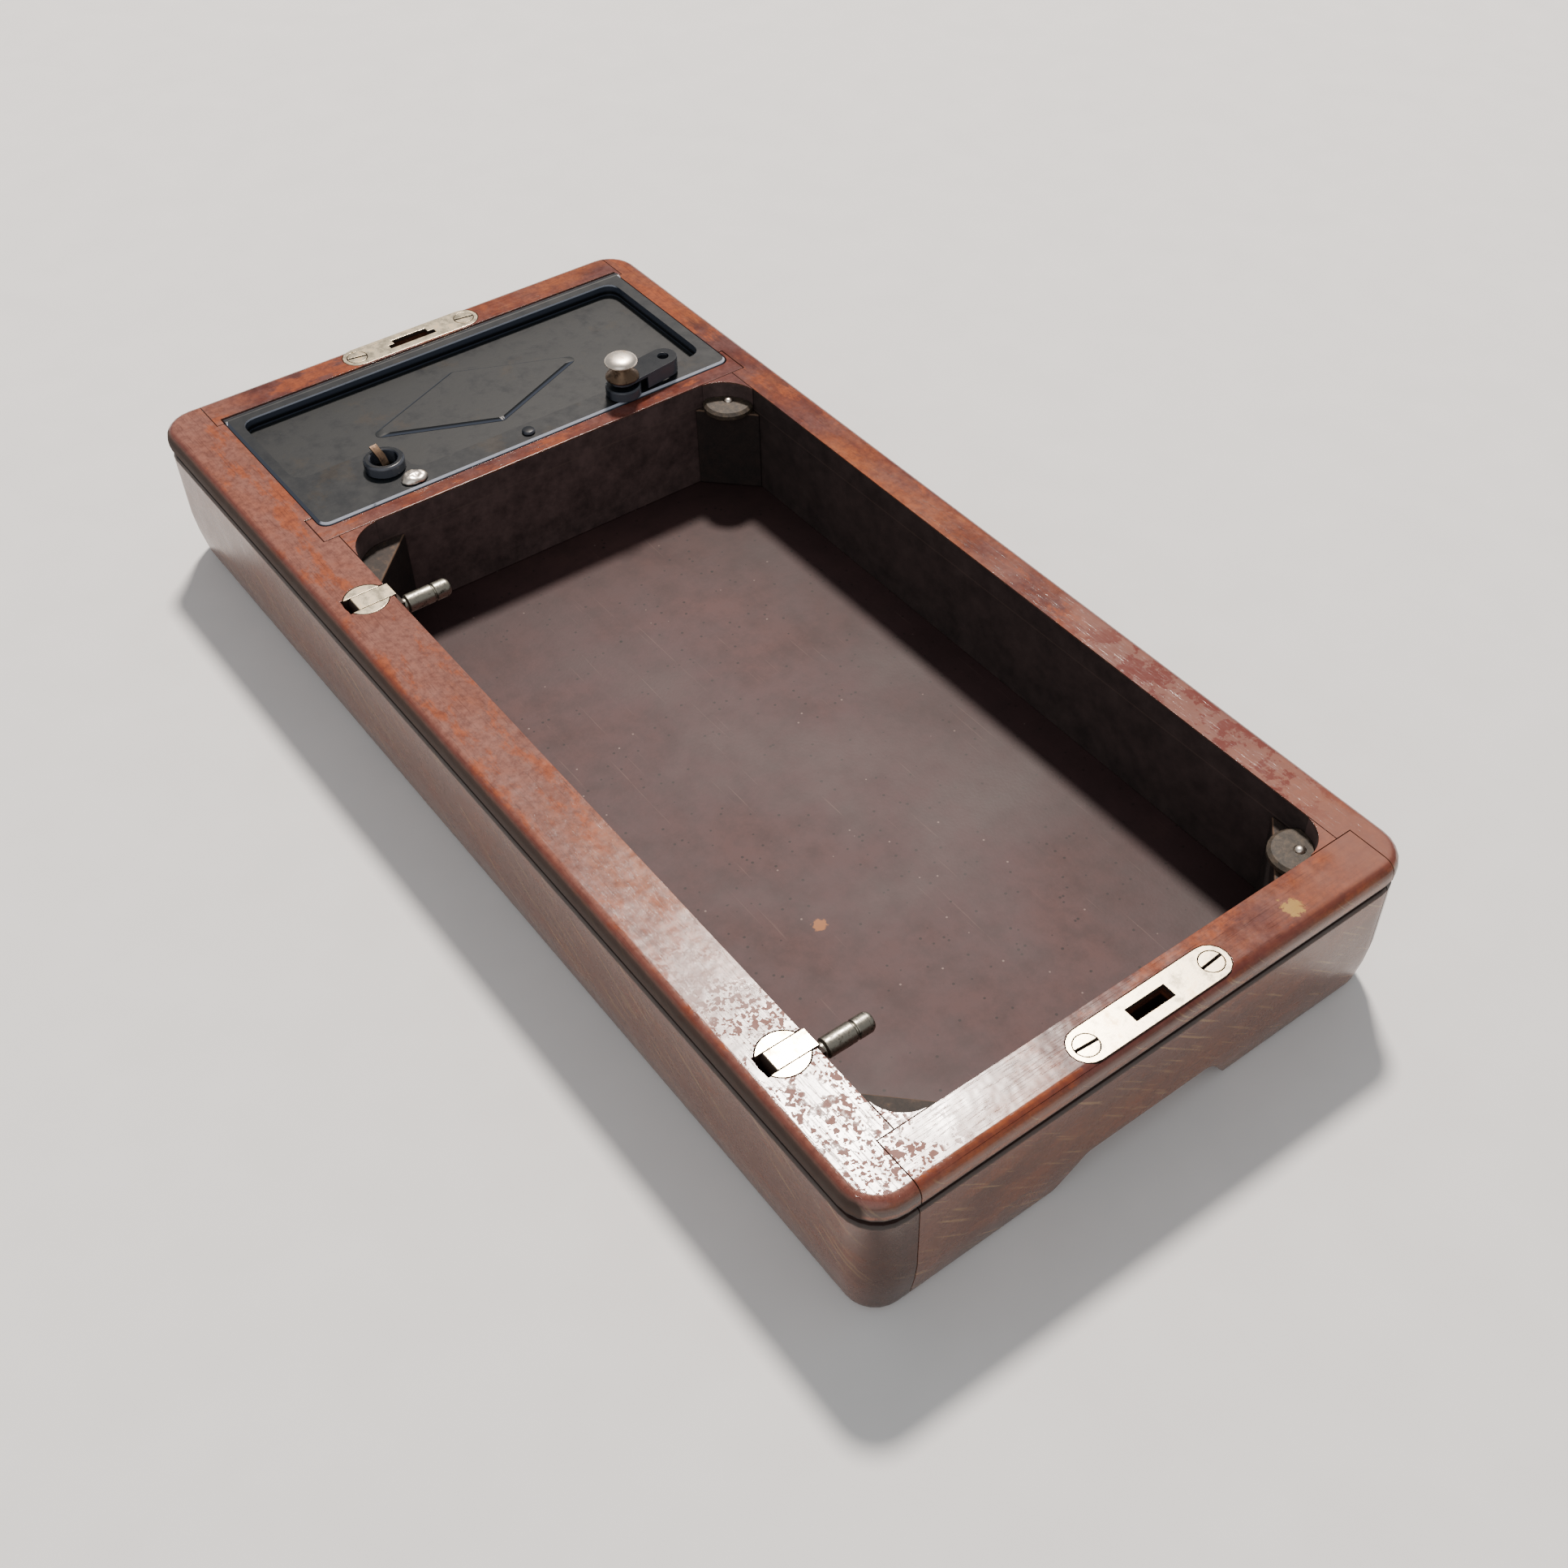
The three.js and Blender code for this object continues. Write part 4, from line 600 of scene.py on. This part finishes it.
def lumpy_rivet(node, material, length=1.25, dent=2.6 * MM, depth=1.3 * MM):
    """A battered rivet head: half a ball drawn out to so many times its CAD length, dented by hammering."""
    low, high, middle = spot(node)
    radius = (high.x - low.x) / 2
    seat = spot("lid_panel")[1].z + 0.3 * MM
    bpy.ops.object.select_all(action="DESELECT")
    bpy.ops.mesh.primitive_uv_sphere_add(segments=48, ring_count=24, radius=radius,
                                         location=(middle.x, middle.y, seat))
    piece = bpy.context.object
    piece.name = node + "_finished"
    bpy.ops.object.transform_apply(location=True, rotation=True, scale=True)
    bpy.ops.object.mode_set(mode="EDIT")
    bpy.ops.mesh.select_all(action="SELECT")
    bpy.ops.mesh.bisect(plane_co=(0, 0, seat), plane_no=(0, 0, 1), clear_inner=True, use_fill=True)
    bpy.ops.mesh.select_all(action="SELECT")
    bpy.ops.transform.resize(value=(0.94, length, (high.z - seat) / radius),
                             center_override=(middle.x, middle.y + radius, seat))
    bpy.ops.object.mode_set(mode="OBJECT")
    dents = bpy.data.textures.new("hammer_dents", "CLOUDS")
    dents.noise_scale = dent
    run_modifier(piece, "DISPLACE", texture=dents, strength=-depth, mid_level=0.4, texture_coords="LOCAL")
    for vertex in piece.data.vertices:
        vertex.co.z = min(max(vertex.co.z, seat), high.z)
    select_only(piece)
    bpy.ops.object.shade_smooth_by_angle(angle=math.radians(50))
    return dress(piece, material, node)


# ---- Woodwork ----

for rail in ("back_rail", "front_rail"):
    eased_copy(rail, MAHOGANY_ALONG_X_SHADED_RECESS, 0.35)
for rail in ("left_end_rail", "right_end_rail", "cross_rail"):
    eased_copy(rail, MAHOGANY_ALONG_Y_LIT_RECESS, 0.3)
for corner in CORNERS:
    eased_copy("corner_filler_" + corner, MAHOGANY_ALONG_Y_LIT_RECESS, 0.2)
    eased_copy("support_post_" + corner, LEDGE_WOOD, 0.7, 3)
eased_copy("floor_board", BOARD_PAINT, 0.4)

# ---- Pads the bed stands on, and their tacks ----

TACK_PROFILE = [(0.5, 0), (0.52, 0.42), (1.0, 0.46), (1.0, 0.7), (0.86, 0.84), (0.6, 0.94), (0.25, 1.0)]
for corner in PADDED_CORNERS:
    pad = eased_copy("bed_pad_" + corner, FELT, 0.5, 3, 30)
    turned("pad_tack_" + corner, KNOB_NICKEL, TACK_PROFILE, sides=28)

# ---- Lock plates and hinges ----

for side in ("left", "right"):
    eased_copy("lock_plate_" + side, NICKEL, 0.22)
    for end in ("front", "back"):
        eased_copy(f"lock_screw_{side}_{end}", NICKEL, 0.12)
    eased_copy("hinge_cup_" + side, NICKEL, 0.18)
    eased_copy("hinge_tongue_" + side, NICKEL, 0.3)
    eased_copy("hinge_axle_" + side, DULL_STEEL, 0.1)
    eased_copy("bed_pin_" + side, DULL_STEEL, 0.15)

# ---- Compartment lid and its fittings ----

KNOB_PROFILE = [(0.64, 0), (0.84, 0.1), (0.95, 0.22), (1.0, 0.34), (0.99, 0.46), (0.94, 0.6), (0.82, 0.76),
                (0.64, 0.88), (0.42, 0.96), (0.2, 0.99), (0.05, 1.0)]
eased_copy("lid_panel", JAPANNED, 0.55, 3, 28)
eased_copy("lid_hinge_rod", DULL_STEEL, 0.2)
turned("latch_knob", KNOB_NICKEL, KNOB_PROFILE)
eased_copy("latch_spindle", TARNISHED, 0.15)
eased_copy("latch_lever", JAPANNED_FITTING, 0.45, 3)
eased_copy("latch_bush", JAPANNED_FITTING, 0.2)
eased_copy("latch_cam", DULL_STEEL, 0.2)
eased_copy("spare_latch_bush", JAPANNED_FITTING, 0.3, 3)
eased_copy("broken_spring_strip", TARNISHED, 0.1)
lumpy_rivet("lid_edge_lug", KNOB_NICKEL)
eased_copy("lid_edge_stud", JAPANNED_FITTING, 0.3, 3)


# ---- Studio ----

def area_light(name, place, aim, size, power, colour="ffffff"):
    light = bpy.data.lights.new(name, "AREA")
    light.shape = "DISK"
    light.size = size
    light.energy = power
    light.color = linear(colour)[:3]
    holder = bpy.data.objects.new(name, light)
    bpy.context.collection.objects.link(holder)
    holder.location = place
    holder.rotation_euler = (Vector(aim) - Vector(place)).to_track_quat("-Z", "Y").to_euler()


bpy.ops.object.select_all(action="DESELECT")
bpy.ops.mesh.primitive_plane_add(size=6, location=(0, 0, cad_box[0][2] - 0.2 * MM))
floor = bpy.context.object
floor.name = "studio_floor"
bpy.ops.object.transform_apply(location=True, rotation=True, scale=True)
paper, paper_shader, paper_at, _ = new_material("matt_white_paper")
fibres = add(paper, "TexNoise", {"Vector": paper_at, "Scale": 40.0})
shade = add(paper, "ValToRGB", {"Fac": fibres}, stops=[(0.3, "f3f3f3"), (0.7, "f7f7f7")])
dress_shader(paper, paper_shader, Base_Color=shade, Roughness=0.9)
floor.data.materials.append(paper)

area_light("window", (1.93, -1.55, 4.0), (-0.05, 0, 0.05), 0.55, 330, "fff4ea")
area_light("room", (-0.9, 0.9, 0.9), (0, 0, 0.03), 1.6, 5)
world = bpy.data.worlds.new("studio")
world.use_nodes = True
world.node_tree.nodes["Background"].inputs["Color"].default_value = linear("ffffff")
world.node_tree.nodes["Background"].inputs["Strength"].default_value = 0.35
bpy.context.scene.world = world
